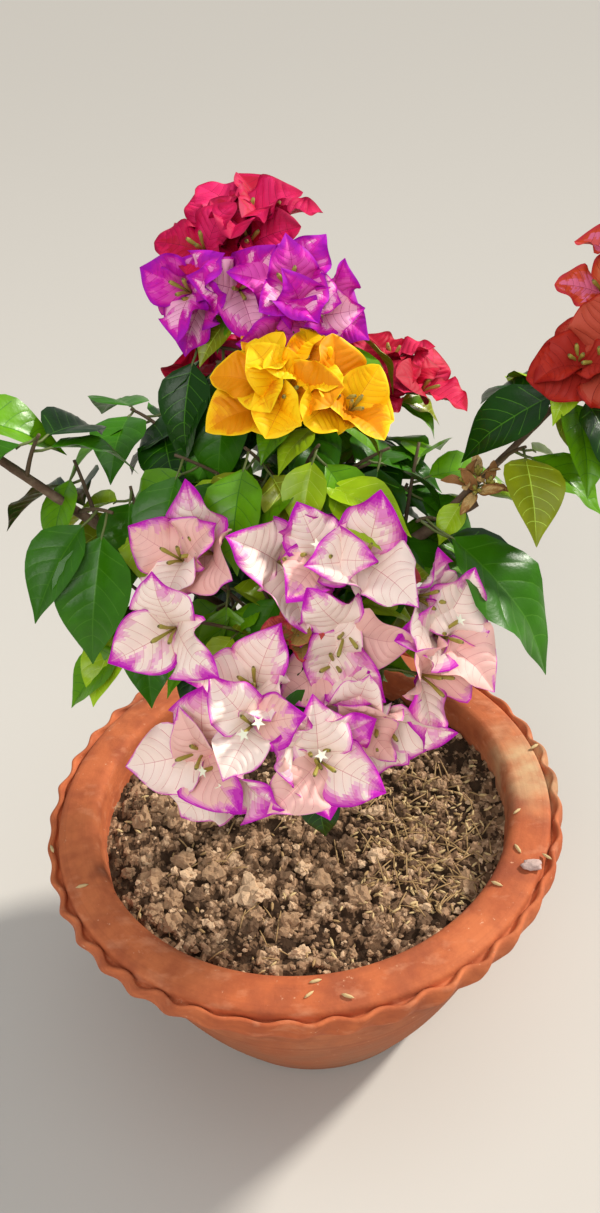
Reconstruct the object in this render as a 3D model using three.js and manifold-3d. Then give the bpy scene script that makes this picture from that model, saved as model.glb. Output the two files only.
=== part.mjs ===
// A grafted bougainvillea bush in a clay pot with a crimped lip, in millimetres, +Z up.
// The origin is the centre of the pot's flat underside. +X is the viewer's right and +Y points away from the
// viewer.
import * as THREE from "three";
import { mergeVertices } from "three/addons/utils/BufferGeometryUtils.js";
import Module from "manifold-3d";

const wasm = await Module();
wasm.setup();

// Driving dimensions of the pot and its soil
const RIM_RADIUS = 170;
const POT_HEIGHT = 172;
const FOOT_RADIUS = 92;
const FLANGE_WIDTH = 35;
const LIP_WIDTH = 8;
const LIP_HEIGHT = 15;
const BOWL_LOW = { height: 48, inset: 27 }; // the bowl's side lies this far inside its neck at this height
const BOWL_HIGH = { height: 96, inset: 10 };
const WALL = 10;
const FLOOR = 12;
const SOIL_TOP = 152;
const LIP_WAVES = 40;
const LIP_STEPS = 3; // segments in one wave of the lip
const LIP_PRESS = 2.2; // how far a thumb press moves the lip
const SOIL_RINGS = [112, 86, 60, 30, 0];
const SOIL_SIDES = 28;
const SOIL_BUMP = 3;
const LEVEL_NEAR_TRUNK = [42, 66]; // the soil is level within the first distance and uneven past the second
const SOIL_INSET = 1; // keeps the soil's coarser facets clear of the wall

// Driving dimensions of the plant
const GAP = 0.3; // clearance between neighbouring solids
const GRID = 0.01; // corners of joined solids lie on a grid this fine
const FINEST = 0.04; // slivers thinner than this close up
const TRUNK_FOOT = [-4, 22];
const TRUNK_TOP = [2, 4, 305];
const TRUNK_BOW = [-3, 6, 0];
const TRUNK_RADIUS = 6.5;
const TRUNK_TIP_RADIUS = 5;
const CUT_DEPTH = 6; // how far the trunk is drawn below the soil before its flat cut
const ROOT_FLARE = 5; // what the flare adds to the trunk's radius at the soil
const TWIG_RADIUS = 1.3;
const STALK_RADIUS = 0.9;
const STEM_BOW = 0.12; // how far a stem arches, as a share of its length
const BLOOM_NOD = 0.6; // how far a bloom turns from its stalk's heading to the way that the head faces
const HEART_RADIUS = 1.8;
const HEART_HALF = 1.6;
const TUBE_SHARE = 0.45; // length of the little tube flower over that of a bract
const LEAF_BREADTH = 0.62;
const BRACT_BREADTH = 0.92;
const HEADINGS = [0, 0.3, -0.3, 0.6, -0.6, 0.9, -0.9, 1.2, -1.2]; // radians a leaf or bloom may turn by
const TURN = THREE.MathUtils.degToRad(137.5); // from one leaf or bloom to the next

// Each limb grows from its parent, at a share of the parent's length, to its tip. Bow moves its middle.
const LIMBS = [
  { name: "leader", parent: "trunk", along: 0.97, tip: [16, 62, 482], bow: [8, -6, 0], radii: [4.2, 2.4] },
  {
    name: "bough_left", parent: "trunk", along: 0.9, tip: [-156, -8, 462], bow: [2, 4, -8],
    radii: [3.2, 2.2],
  },
  {
    name: "bough_right", parent: "trunk", along: 0.86, tip: [114, 22, 373], bow: [-2, -2, 22],
    radii: [4.2, 3],
  },
  {
    name: "shoot_right", parent: "bough_right", along: 0.74, tip: [188, 26, 464], bow: [2, 0, -4],
    radii: [2.2, 1.5],
  },
  { name: "bough_back", parent: "leader", along: 0.3, tip: [66, 86, 398], bow: [4, 2, 4], radii: [2.4, 1.7] },
  {
    name: "bough_rear", parent: "leader", along: 0.16, tip: [-60, 84, 400], bow: [-6, 4, 8],
    radii: [2.6, 1.8],
  },
  {
    name: "bough_front", parent: "trunk", along: 0.78, tip: [8, -50, 330], bow: [0, -4, 10],
    radii: [3, 2.1],
  },
  {
    name: "bough_low", parent: "trunk", along: 0.66, tip: [-60, -26, 330], bow: [-4, -2, 12],
    radii: [2.4, 1.7],
  },
];

// Colour and roughness of the clay, the soil, the bark, the leaves at two ages and the bracts of each kind
const FINISHES = {
  clay: [0xb5603a, 0.8],
  soil: [0x8a6f55, 0.95],
  bark: [0x6e5744, 0.85],
  leaf: [0x2f6b24, 0.45],
  young_leaf: [0x7ea52c, 0.5],
  pink: [0xe6b7cf, 0.6],
  purple: [0xb02ab8, 0.6],
  magenta: [0xc8144e, 0.6],
  yellow: [0xf2a71b, 0.6],
  red: [0xc91238, 0.6],
  flame: [0xc83c22, 0.6],
};

// Each spray is one stem from its limb to its tip, with leaves along it or blooms fanned out from its end.
// leaves: how many, their length, the middle heading, the arc that they share, how steeply they hang and from
// which share of the stem on. blooms: how many, the length of a bract, the way that the head faces, the fan's
// half angle, the turn of the first and the stalks' length. Angles are in degrees.
const SPRAYS = [
  {
    name: "blossom_magenta", limb: "leader", along: 1, tip: [-4, 80, 507], seed: 3, finish: "magenta",
    blooms: { count: 4, bract: 30, facing: [0.05, -0.5, 0.9], fan: 80, spin: 45, stalk: 16 },
  },
  {
    name: "blossom_purple_left", limb: "leader", along: 0.9, tip: [-20, 58, 501], seed: 5, finish: "purple",
    blooms: { count: 3, bract: 30, facing: [-0.3, -0.8, 0.6], fan: 80, spin: 40, stalk: 15 },
  },
  {
    name: "blossom_purple_right", limb: "leader", along: 0.95, tip: [18, 42, 488], seed: 8, finish: "purple",
    blooms: { count: 4, bract: 31, facing: [0.15, -0.8, 0.6], fan: 80, spin: 70, stalk: 15 },
  },
  {
    name: "blossom_yellow", limb: "leader", along: 0.62, tip: [18, 12, 452], seed: 21, finish: "yellow",
    blooms: { count: 4, bract: 34, facing: [0.05, -0.5, 0.9], fan: 80, spin: 60, stalk: 18 },
  },
  {
    name: "blossom_red_left", limb: "bough_back", along: 0.9, tip: [40, 84, 418], seed: 30, finish: "red",
    blooms: { count: 3, bract: 28, facing: [-0.2, -0.3, 1], fan: 60, spin: 30, stalk: 16 },
  },
  {
    name: "blossom_red_right", limb: "bough_back", along: 1, tip: [76, 94, 408], seed: 31, finish: "red",
    blooms: { count: 3, bract: 28, facing: [0.3, -0.3, 1], fan: 60, spin: 90, stalk: 16 },
  },
  {
    name: "blossom_flame_low", limb: "shoot_right", along: 0.9, tip: [176, 18, 464], seed: 54, finish: "flame",
    blooms: { count: 2, bract: 36, facing: [-0.4, -0.5, 0.8], fan: 66, spin: 20, stalk: 18 },
  },
  {
    name: "blossom_flame", limb: "shoot_right", along: 1, tip: [196, 34, 486], seed: 55, finish: "flame",
    blooms: { count: 4, bract: 36, facing: [0.1, -0.4, 1], fan: 72, spin: 75, stalk: 20 },
  },
  {
    name: "blossom_pink_top", limb: "bough_front", along: 0.6, tip: [-17, -36, 387], seed: 70, finish: "pink",
    blooms: { count: 2, bract: 40, facing: [-0.05, -0.8, 0.6], fan: 90, spin: 80, stalk: 15 },
  },
  {
    name: "blossom_pink_left", limb: "bough_front", along: 0.8, tip: [-46, -56, 364], seed: 72, finish: "pink",
    blooms: { count: 1, bract: 40, facing: [-0.4, -0.9, 0.3], fan: 10, spin: 0, stalk: 20 },
  },
  {
    name: "blossom_pink_right", limb: "bough_front", along: 0.66, tip: [45, -48, 369], seed: 73, finish: "pink",
    blooms: { count: 2, bract: 40, facing: [0.25, -0.8, 0.5], fan: 90, spin: 66, stalk: 22 },
  },
  {
    name: "blossom_pink_outer", limb: "bough_front", along: 0.86, tip: [50, -66, 330], seed: 74, finish: "pink",
    blooms: { count: 3, bract: 40, facing: [0.2, -0.9, 0.4], fan: 90, spin: -60, stalk: 22 },
  },
  {
    name: "blossom_pink_low", limb: "bough_front", along: 1, tip: [-14, -92, 318], seed: 75, finish: "pink",
    blooms: { count: 3, bract: 40, facing: [-0.1, -0.9, 0.5], fan: 90, spin: 10, stalk: 24 },
  },
  {
    name: "blossom_rear", limb: "bough_rear", along: 0.7, tip: [-14, 116, 408], seed: 92, finish: "magenta",
    blooms: { count: 4, bract: 34, facing: [-0.1, 0.8, 0.8], fan: 66, spin: 0, stalk: 20 },
  },
  {
    name: "leaves_upper_left", limb: "leader", along: 0.8, tip: [-24, 40, 462], seed: 11, finish: "leaf",
    leaves: { count: 5, length: 54, heading: 215, arc: 160, hang: 62, from: 0.5 },
  },
  {
    name: "leaves_upper_right", limb: "leader", along: 0.84, tip: [46, 60, 470], seed: 112, finish: "young_leaf",
    leaves: { count: 3, length: 44, heading: -40, arc: 120, hang: 38, from: 0.5 },
  },
  {
    name: "leaves_centre_left", limb: "leader", along: 0.45, tip: [-18, 2, 412], seed: 41, finish: "young_leaf",
    leaves: { count: 6, length: 56, heading: 240, arc: 200, hang: 16, from: 0.4 },
  },
  {
    name: "leaves_centre", limb: "leader", along: 0.5, tip: [22, -10, 410], seed: 342, finish: "young_leaf",
    leaves: { count: 5, length: 50, heading: -90, arc: 170, hang: 18, from: 0.5 },
  },
  {
    name: "leaves_centre_right", limb: "leader", along: 0.4, tip: [54, 14, 408], seed: 143, finish: "leaf",
    leaves: { count: 5, length: 54, heading: -40, arc: 230, hang: 16, from: 0.4 },
  },
  {
    name: "leaves_right_upper", limb: "bough_right", along: 0.66, tip: [84, 40, 404], seed: 44, finish: "leaf",
    leaves: { count: 4, length: 56, heading: 40, arc: 220, hang: 10, from: 0.4 },
  },
  {
    name: "leaf_right_big", limb: "bough_right", along: 0.84, tip: [75, -14, 386], seed: 47, finish: "leaf",
    leaves: { count: 2, length: 90, heading: -30, arc: 90, hang: 50, from: 0.6 },
  },
  {
    name: "leaves_shoot", limb: "shoot_right", along: 0.4, tip: [136, 6, 414], seed: 151, finish: "young_leaf",
    leaves: { count: 4, length: 52, heading: -20, arc: 200, hang: 26, from: 0.4 },
  },
  {
    name: "leaves_shoot_tip", limb: "shoot_right", along: 0.72, tip: [162, 10, 444], seed: 52, finish: "leaf",
    leaves: { count: 5, length: 54, heading: -70, arc: 320, hang: 34, from: 0.3 },
  },
  {
    name: "leaves_left_tip", limb: "bough_left", along: 1, tip: [-172, -14, 476], seed: 61, finish: "leaf",
    leaves: { count: 5, length: 52, heading: 180, arc: 330, hang: 24, from: 0.2 },
  },
  {
    name: "leaves_left_upper", limb: "bough_left", along: 0.8, tip: [-110, -20, 458], seed: 62, finish: "leaf",
    leaves: { count: 3, length: 46, heading: 150, arc: 220, hang: 24, from: 0.5 },
  },
  {
    name: "leaf_left_big", limb: "bough_left", along: 0.66, tip: [-82, -22, 412], seed: 63, finish: "leaf",
    leaves: { count: 2, length: 64, heading: -100, arc: 60, hang: 48, from: 0.5 },
  },
  {
    name: "leaves_left_inner", limb: "bough_left", along: 0.46, tip: [-78, 22, 402], seed: 564, finish: "young_leaf",
    leaves: { count: 5, length: 52, heading: 245, arc: 250, hang: 24, from: 0.4 },
  },
  {
    name: "leaves_low_left", limb: "bough_low", along: 1, tip: [-84, -32, 334], seed: 366, finish: "leaf",
    leaves: { count: 5, length: 46, heading: 200, arc: 220, hang: 30, from: 0.2 },
  },
  {
    name: "leaves_inner_left", limb: "bough_low", along: 0.55, tip: [-32, -38, 352], seed: 586, finish: "leaf",
    leaves: { count: 4, length: 46, heading: 245, arc: 220, hang: 32, from: 0.4 },
  },
  {
    name: "leaves_inner_right", limb: "bough_right", along: 0.42, tip: [66, -8, 354], seed: 383, finish: "leaf",
    leaves: { count: 4, length: 50, heading: -30, arc: 260, hang: 26, from: 0.4 },
  },
  {
    name: "leaves_right_rear", limb: "bough_right", along: 0.5, tip: [72, 58, 374], seed: 84, finish: "leaf",
    leaves: { count: 5, length: 54, heading: 60, arc: 240, hang: 24, from: 0.4 },
  },
  {
    name: "leaves_front", limb: "bough_front", along: 0.45, tip: [14, -40, 356], seed: 281, finish: "leaf",
    leaves: { count: 3, length: 42, heading: -90, arc: 200, hang: 20, from: 0.4 },
  },
  {
    name: "leaves_rear", limb: "bough_rear", along: 1, tip: [-82, 98, 412], seed: 91, finish: "leaf",
    leaves: { count: 6, length: 56, heading: 120, arc: 340, hang: 20, from: 0.1 },
  },
  {
    name: "leaves_back", limb: "bough_back", along: 0.5, tip: [30, 104, 388], seed: 193, finish: "leaf",
    leaves: { count: 6, length: 58, heading: 80, arc: 320, hang: 24, from: 0.3 },
  },
  {
    name: "leaves_back_low", limb: "bough_rear", along: 0.4, tip: [-16, 96, 348], seed: 194, finish: "leaf",
    leaves: { count: 5, length: 56, heading: 90, arc: 260, hang: 26, from: 0.4 },
  },
];

const UP = new THREE.Vector3(0, 0, 1);
const vector = ([x, y, z]) => new THREE.Vector3(x, y, z);

// A repeatable stream of numbers from 0 to 1.
function seeded(seed) {
  let state = seed >>> 0;
  return () => {
    state = (state + 0x6d2b79f5) >>> 0;
    let t = state;
    t = Math.imul(t ^ (t >>> 15), t | 1);
    t ^= t + Math.imul(t ^ (t >>> 7), t | 61);
    return ((t ^ (t >>> 14)) >>> 0) / 4294967296;
  };
}

// Conversions between three.js geometry and closed solids
function solidOf(geometry) {
  const bare = new THREE.BufferGeometry();
  bare.setAttribute("position", geometry.getAttribute("position"));
  bare.setIndex(geometry.index);
  const merged = mergeVertices(bare, 1e-3);
  return new wasm.Manifold(
    new wasm.Mesh({
      numProp: 3,
      vertProperties: merged.attributes.position.array,
      triVerts: new Uint32Array(merged.index.array),
    }),
  );
}

function geometryOf(solid) {
  const mesh = solid.getMesh();
  const geometry = new THREE.BufferGeometry();
  geometry.setAttribute("position", new THREE.BufferAttribute(mesh.vertProperties, 3));
  geometry.setIndex(new THREE.BufferAttribute(mesh.triVerts, 1));
  geometry.computeVertexNormals();
  return geometry;
}

// The largest body of a solid, without slivers and with any hollow that the joining sealed filled in.
function wholeBody(solid) {
  const bodies = solid.decompose().filter((body) => body.volume() > 0);
  return bodies.reduce((best, body) => (body.volume() > best.volume() ? body : best)).simplify(FINEST);
}

// The solid with its corners moved to a fine grid and the slivers that close up left out, or null where it is in
// two pieces or an edge is then shared by more than two faces.
function settled(solid) {
  const bodies = solid.simplify(FINEST).decompose().filter((body) => body.volume() > 0);
  if (bodies.length > 1) return null;
  const mesh = bodies[0].getMesh();
  const numbers = new Map();
  const corners = [];
  const cornerOf = [];
  for (let i = 0; i < mesh.vertProperties.length; i += 3) {
    const place = Array.from(mesh.vertProperties.subarray(i, i + 3), (value) => Math.round(value / GRID));
    const key = place.join();
    if (!numbers.has(key)) {
      numbers.set(key, numbers.size);
      corners.push(...place.map((value) => value * GRID));
    }
    cornerOf.push(numbers.get(key));
  }
  const faces = [];
  const edges = new Set();
  for (let i = 0; i < mesh.triVerts.length; i += 3) {
    const [a, b, c] = Array.from(mesh.triVerts.subarray(i, i + 3), (number) => cornerOf[number]);
    if (a === b || b === c || c === a) continue;
    faces.push(a, b, c);
    for (const edge of [[a, b], [b, c], [c, a]]) edges.add(edge.join());
  }
  const paired = [...edges].every((edge) => edges.has(edge.split(",").reverse().join()));
  if (edges.size !== faces.length || !paired) return null;
  return new wasm.Manifold(
    new wasm.Mesh({
      numProp: 3,
      vertProperties: new Float32Array(corners),
      triVerts: new Uint32Array(faces),
    }),
  );
}

// Triangles between two rings of corner numbers. The second half of the sides is split the mirrored way, so that
// the upper and lower faces of a thin blade bend along one line and never cross.
function bandFaces(from, to) {
  const faces = [];
  for (let side = 0; side < from.length; side++) {
    const next = (side + 1) % from.length;
    if (side < from.length / 2) faces.push(from[side], from[next], to[side], from[next], to[next], to[side]);
    else faces.push(from[side], from[next], to[next], from[side], to[next], to[side]);
  }
  return faces;
}

// A closed shape through rings of points, with one end point before the first ring and one after the last.
function loft(first, rings, last) {
  const sides = rings[0].length;
  const points = [first, ...rings.flat(), last];
  const numbers = rings.map((ring, step) => ring.map((corner, side) => 1 + step * sides + side));
  const end = numbers[rings.length - 1];
  const index = [];
  for (let side = 0; side < sides; side++) {
    const next = (side + 1) % sides;
    index.push(0, numbers[0][next], numbers[0][side]);
    index.push(end[side], end[next], points.length - 1);
  }
  for (let step = 1; step < rings.length; step++) index.push(...bandFaces(numbers[step - 1], numbers[step]));
  return solidOf(new THREE.BufferGeometry().setFromPoints(points).setIndex(index));
}

// A round limb along a curve. radiusAt gives its radius at each share of the curve, and grow fattens it all over.
function limbAlong(curve, radiusAt, sides, steps, grow = 0) {
  const frames = curve.computeFrenetFrames(steps);
  const rings = [];
  const centres = [];
  for (let step = 0; step <= steps; step++) {
    const share = step / steps;
    const end = step === 0 ? -grow : step === steps ? grow : 0;
    const centre = curve.getPointAt(share).addScaledVector(frames.tangents[step], end);
    const radius = radiusAt(share) + grow;
    const ring = [];
    for (let side = 0; side < sides; side++) {
      const angle = (side / sides) * 2 * Math.PI;
      ring.push(
        centre
          .clone()
          .addScaledVector(frames.normals[step], radius * Math.cos(angle))
          .addScaledVector(frames.binormals[step], radius * Math.sin(angle)),
      );
    }
    rings.push(ring);
    centres.push(centre);
  }
  return loft(centres[0], rings, centres[steps]);
}

// A curve from one point to another, with its middle moved by bow.
function bowed(from, to, bow) {
  const knee = from.clone().lerp(to, 0.5).add(bow);
  return new THREE.QuadraticBezierCurve3(from, knee, to);
}

const taper = (from, to) => (share) => from + (to - from) * share;

// Stations of a blade: share of its length, half width over its width, and lift of its midrib over its length
const LEAF_STATIONS = [
  [0.3, 0.45, 0.03],
  [0.66, 0.4, 0.01],
];
const BRACT_STATIONS = [
  [0.3, 0.32, -0.02],
  [0.62, 0.46, 0.01],
];
const LEAF_FORM = { stations: LEAF_STATIONS, fold: 0.22, tipDrop: 0.12 };
const BRACT_FORM = { stations: BRACT_STATIONS, fold: 0.2, tipDrop: 0.1 };

// Sections of a leaf or bract, and its tip, folded up along its midrib, with its upper side towards face.
function bladeRings(root, along, face, length, width, form, grow) {
  const across = new THREE.Vector3().crossVectors(face, along).normalize();
  const half = length / 70 + grow;
  const place = (share, side, rise) =>
    root
      .clone()
      .addScaledVector(along, share * length)
      .addScaledVector(across, side)
      .addScaledVector(face, rise);
  const rings = form.stations.map(([share, halfWidth, lift]) => {
    const side = halfWidth * width;
    const mid = lift * length;
    const edge = mid + side * form.fold;
    return [
      place(share, -side - grow, edge),
      place(share, 0, mid - half),
      place(share, side + grow, edge),
      place(share, 0, mid + half),
    ];
  });
  return { rings, tip: place(1 + grow / length, 0, -form.tipDrop * length) };
}

// Trunk and boughs, each cut clear of its parent
const limbs = {};

function addLimb(name, curve, radiusAt, parent, sides, steps) {
  let solid = limbAlong(curve, radiusAt, sides, steps);
  if (parent) solid = wholeBody(solid.subtract(limbs[parent].grown));
  limbs[name] = { curve, solid, grown: limbAlong(curve, radiusAt, sides, steps, GAP) };
}

// A slab whose top is just above the soil, which cuts the trunk flat
function groundCutter() {
  const slab = new THREE.BoxGeometry(80, 80, CUT_DEPTH * 2);
  slab.translate(...TRUNK_FOOT, SOIL_TOP + GAP - CUT_DEPTH);
  slab.deleteAttribute("normal");
  slab.deleteAttribute("uv");
  return solidOf(slab);
}

function growLimbs() {
  const foot = vector([...TRUNK_FOOT, SOIL_TOP - CUT_DEPTH]);
  const trunk = bowed(foot, vector(TRUNK_TOP), vector(TRUNK_BOW));
  const flared = (share) => taper(TRUNK_RADIUS, TRUNK_TIP_RADIUS)(share) + ROOT_FLARE * Math.exp(-share * 14);
  addLimb("trunk", trunk, flared, null, 10, 10);
  limbs.trunk.solid = wholeBody(limbs.trunk.solid.subtract(groundCutter()));
  for (const { name, parent, along, tip, bow, radii } of LIMBS) {
    const from = limbs[parent].curve.getPointAt(along);
    addLimb(name, bowed(from, vector(tip), vector(bow)), taper(...radii), parent, 6, 6);
  }
}

// One leaf on its stalk, which starts inside the stem at node
function leafMaker(node, leaves, index, rng) {
  const arc = THREE.MathUtils.degToRad(leaves.arc);
  const swing = ((index * TURN) / (2 * Math.PI)) % 1;
  const heading = THREE.MathUtils.degToRad(leaves.heading) + (swing - 0.5) * arc + (rng() - 0.5) * 0.4;
  const hang = THREE.MathUtils.degToRad(leaves.hang + (rng() - 0.5) * 24);
  const roll = (rng() - 0.5) * 0.7;
  const length = leaves.length * (0.86 + 0.28 * rng());
  return (turn, grow) => {
    const along = new THREE.Vector3(Math.cos(heading + turn), Math.sin(heading + turn), 0)
      .multiplyScalar(Math.cos(hang))
      .addScaledVector(UP, -Math.sin(hang));
    const level = UP.clone().addScaledVector(along, -UP.dot(along)).normalize();
    const face = level.clone().applyAxisAngle(along, roll);
    const root = node
      .clone()
      .addScaledVector(along, length * 0.2)
      .addScaledVector(level, length * 0.06);
    const out = root.clone().sub(node).normalize();
    const across = new THREE.Vector3().crossVectors(out, along).normalize();
    if (across.lengthSq() < 0.5) across.crossVectors(out, UP).normalize();
    const over = new THREE.Vector3().crossVectors(across, out);
    const stalkRing = (centre, radius) =>
      [Math.PI, 0.5 * Math.PI, 0, 1.5 * Math.PI].map((angle) =>
        centre
          .clone()
          .addScaledVector(across, radius * Math.cos(angle))
          .addScaledVector(over, radius * Math.sin(angle)),
      );
    const { rings, tip } = bladeRings(root, along, face, length, length * LEAF_BREADTH, LEAF_FORM, grow);
    const stalk = [stalkRing(node, STALK_RADIUS + grow), stalkRing(root, STALK_RADIUS + grow)];
    return loft(node, [...stalk, ...rings], tip);
  };
}

// One bloom on its stalk, as a single closed shape: a three-sided heart with a bract grown out of each side
function bloomMaker(tip, blooms, index, rng) {
  const facing = vector(blooms.facing).normalize();
  const side = new THREE.Vector3().crossVectors(facing, UP).normalize();
  const ringCount = blooms.count > 4 ? blooms.count - 1 : blooms.count;
  const fan = index < ringCount ? THREE.MathUtils.degToRad(blooms.fan) : 0;
  const reach = blooms.stalk * (0.85 + 0.3 * rng());
  const open = THREE.MathUtils.degToRad(48 + 14 * rng());
  const first = rng() * 2 * Math.PI;
  const length = blooms.bract * (0.9 + 0.2 * rng());
  const spin = THREE.MathUtils.degToRad(blooms.spin) + (index / ringCount) * 2 * Math.PI;
  return (turn, grow) => {
    const out = facing.clone().applyAxisAngle(side, fan).applyAxisAngle(facing, spin + turn);
    const heart = tip.clone().addScaledVector(out, reach);
    const axis = out.lerp(facing, BLOOM_NOD).normalize();
    const outward = new THREE.Vector3().crossVectors(axis, UP).normalize();
    if (outward.lengthSq() < 0.5) outward.copy(side);
    const spoke = (turns) => outward.clone().applyAxisAngle(axis, first + turns * 2 * Math.PI);
    const corner = (centre, number, along, radius) =>
      centre
        .clone()
        .addScaledVector(axis, along)
        .addScaledVector(spoke(number / 3), radius + grow);
    const points = [];
    const faces = [];
    const add = (point) => points.push(point) - 1;
    const cap = (ring, point) => {
      for (let i = 0; i < ring.length; i++) faces.push(ring[i], ring[(i + 1) % ring.length], point);
    };
    const foot = [0, 1, 2].map((i) => add(corner(tip, i, -grow, STALK_RADIUS)));
    const low = [0, 1, 2].map((i) => add(corner(heart, i, -HEART_HALF, HEART_RADIUS)));
    const high = [0, 1, 2].map((i) => add(corner(heart, i, HEART_HALF, HEART_RADIUS)));
    faces.push(foot[0], foot[2], foot[1]);
    faces.push(...bandFaces(foot, low));
    cap(high, add(heart.clone().addScaledVector(axis, length * TUBE_SHARE + grow)));
    for (let i = 0; i < 3; i++) {
      const next = (i + 1) % 3;
      const radial = spoke((i + 0.5) / 3);
      const along = axis.clone().multiplyScalar(Math.cos(open)).addScaledVector(radial, Math.sin(open));
      const face = axis.clone().multiplyScalar(Math.sin(open)).addScaledVector(radial, -Math.cos(open));
      const blade = bladeRings(heart, along, face, length, length * BRACT_BREADTH, BRACT_FORM, grow);
      const rings = blade.rings.map((ring) => ring.map(add));
      const root = [low[i], low[next], high[next], high[i]];
      faces.push(...bandFaces(root, rings[0]), ...bandFaces(rings[0], rings[1]));
      cap(rings[1], add(blade.tip));
    }
    return solidOf(new THREE.BufferGeometry().setFromPoints(points).setIndex(faces));
  };
}

// The stem of each spray, from its limb to its tip, cut clear of every limb
function growStem(spray) {
  const from = limbs[spray.limb].curve.getPointAt(spray.along);
  const tip = vector(spray.tip);
  const curve = bowed(from, tip, UP.clone().multiplyScalar(from.distanceTo(tip) * STEM_BOW));
  const shape = limbAlong(curve, taper(TWIG_RADIUS, STALK_RADIUS), 4, 3);
  const clear = Object.values(limbs).reduce((rest, limb) => rest.subtract(limb.grown), shape);
  return { spray, curve, tip, solid: wholeBody(clear) };
}

// A spray's solid: its stem, with each leaf and bloom that finds a free heading among what is placed before it
function dress(stem, others) {
  const { spray, curve, tip } = stem;
  const rng = seeded(spray.seed);
  const blocked = (solid) => others.some((other) => !solid.intersect(other).isEmpty());
  let kept = stem.solid;
  const offer = (make) => {
    for (const heading of HEADINGS) {
      const joined = blocked(make(heading, GAP)) ? null : settled(kept.add(make(heading, 0)));
      if (joined) {
        kept = joined;
        return;
      }
    }
  };
  const leafCount = spray.leaves?.count ?? 0;
  for (let i = 0; i < leafCount; i++) {
    const share = spray.leaves.from + ((1 - spray.leaves.from) * (i + 0.5)) / leafCount;
    offer(leafMaker(curve.getPointAt(share), spray.leaves, i, rng));
  }
  const bloomCount = spray.blooms?.count ?? 0;
  for (let i = 0; i < bloomCount; i++) offer(bloomMaker(tip, spray.blooms, i, rng));
  return kept;
}

// The pot: a thrown bowl with a wide flange whose lip is pressed into waves
function potGeometry() {
  const inner = RIM_RADIUS - FLANGE_WIDTH;
  const lipInner = RIM_RADIUS - LIP_WIDTH;
  const lipFoot = POT_HEIGHT - LIP_HEIGHT;
  const neck = inner + WALL;
  const profile = [
    [0, 0],
    [FOOT_RADIUS, 0],
    [FOOT_RADIUS + 4, 4],
    [neck - BOWL_LOW.inset, BOWL_LOW.height],
    [neck - BOWL_HIGH.inset, BOWL_HIGH.height],
    [neck, lipFoot - 6],
    [lipInner, lipFoot],
    [RIM_RADIUS - 2, lipFoot - 2],
    [RIM_RADIUS, POT_HEIGHT - 7],
    [RIM_RADIUS - 3, POT_HEIGHT],
    [lipInner - 1, POT_HEIGHT - 3],
    [inner + 5, POT_HEIGHT],
    [inner, POT_HEIGHT - 4],
    [neck - BOWL_HIGH.inset - WALL, BOWL_HIGH.height],
    [FOOT_RADIUS - WALL, FLOOR],
    [0, FLOOR],
  ].map(([radius, height]) => new THREE.Vector2(radius, height));
  const geometry = new THREE.LatheGeometry(profile, LIP_WAVES * LIP_STEPS);
  geometry.rotateX(Math.PI / 2);
  const position = geometry.getAttribute("position");
  for (let i = 0; i < position.count; i++) {
    const radius = Math.hypot(position.getX(i), position.getY(i));
    const inLip = THREE.MathUtils.smoothstep(radius, lipInner, RIM_RADIUS - 3);
    const wave = LIP_PRESS * inLip * Math.cos(LIP_WAVES * Math.atan2(position.getY(i), position.getX(i)));
    const scale = (radius + wave - LIP_PRESS * inLip) / Math.max(radius, 1e-6);
    position.setX(i, position.getX(i) * scale);
    position.setY(i, position.getY(i) * scale);
  }
  return geometry;
}

// The soil: it fills the pot, uneven on top and level under the trunk
function soilGeometry() {
  const inner = RIM_RADIUS - FLANGE_WIDTH;
  const neck = inner + WALL;
  const profile = [
    [0, FLOOR + GAP],
    [FOOT_RADIUS - WALL - SOIL_INSET, FLOOR + GAP],
    [neck - BOWL_HIGH.inset - WALL - SOIL_INSET, BOWL_HIGH.height],
    [inner - 4 - SOIL_INSET, SOIL_TOP - 6],
    ...SOIL_RINGS.map((radius) => [radius, SOIL_TOP]),
  ].map(([radius, height]) => new THREE.Vector2(radius, height));
  const geometry = new THREE.LatheGeometry(profile, SOIL_SIDES);
  geometry.rotateX(Math.PI / 2);
  const position = geometry.getAttribute("position");
  for (let i = 0; i < position.count; i++) {
    const [x, y, z] = [position.getX(i), position.getY(i), position.getZ(i)];
    if (z < SOIL_TOP - 1) continue;
    const fromTrunk = Math.hypot(x - TRUNK_FOOT[0], y - TRUNK_FOOT[1]);
    const bump = Math.sin(x * 0.071 + 1) * Math.cos(y * 0.083) + 0.6 * Math.sin(x * 0.16 + y * 0.11);
    position.setZ(i, z + SOIL_BUMP * bump * THREE.MathUtils.smoothstep(fromTrunk, ...LEVEL_NEAR_TRUNK));
  }
  return geometry;
}

const bush = new THREE.Group();

function addMesh(name, geometry, finish) {
  const [color, roughness] = FINISHES[finish];
  const material = new THREE.MeshStandardMaterial({ color, roughness, metalness: 0 });
  const mesh = new THREE.Mesh(geometry, material);
  mesh.name = name;
  bush.add(mesh);
}

const pot = solidOf(potGeometry());
const soil = solidOf(soilGeometry());
addMesh("pot", geometryOf(pot), "clay");
addMesh("soil", geometryOf(soil), "soil");
growLimbs();
for (const [name, { solid }] of Object.entries(limbs)) addMesh(name, geometryOf(solid), "bark");
const fixed = [pot, soil, ...Object.values(limbs).map(({ solid }) => solid)];
const stems = SPRAYS.map(growStem);
const crown = stems.map(({ solid }) => solid);
stems.forEach((stem, i) => {
  crown[i] = dress(stem, [...fixed, ...crown.filter((_, other) => other !== i)]);
  addMesh(stem.spray.name, geometryOf(crown[i]), stem.spray.finish);
});

export default bush;
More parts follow.
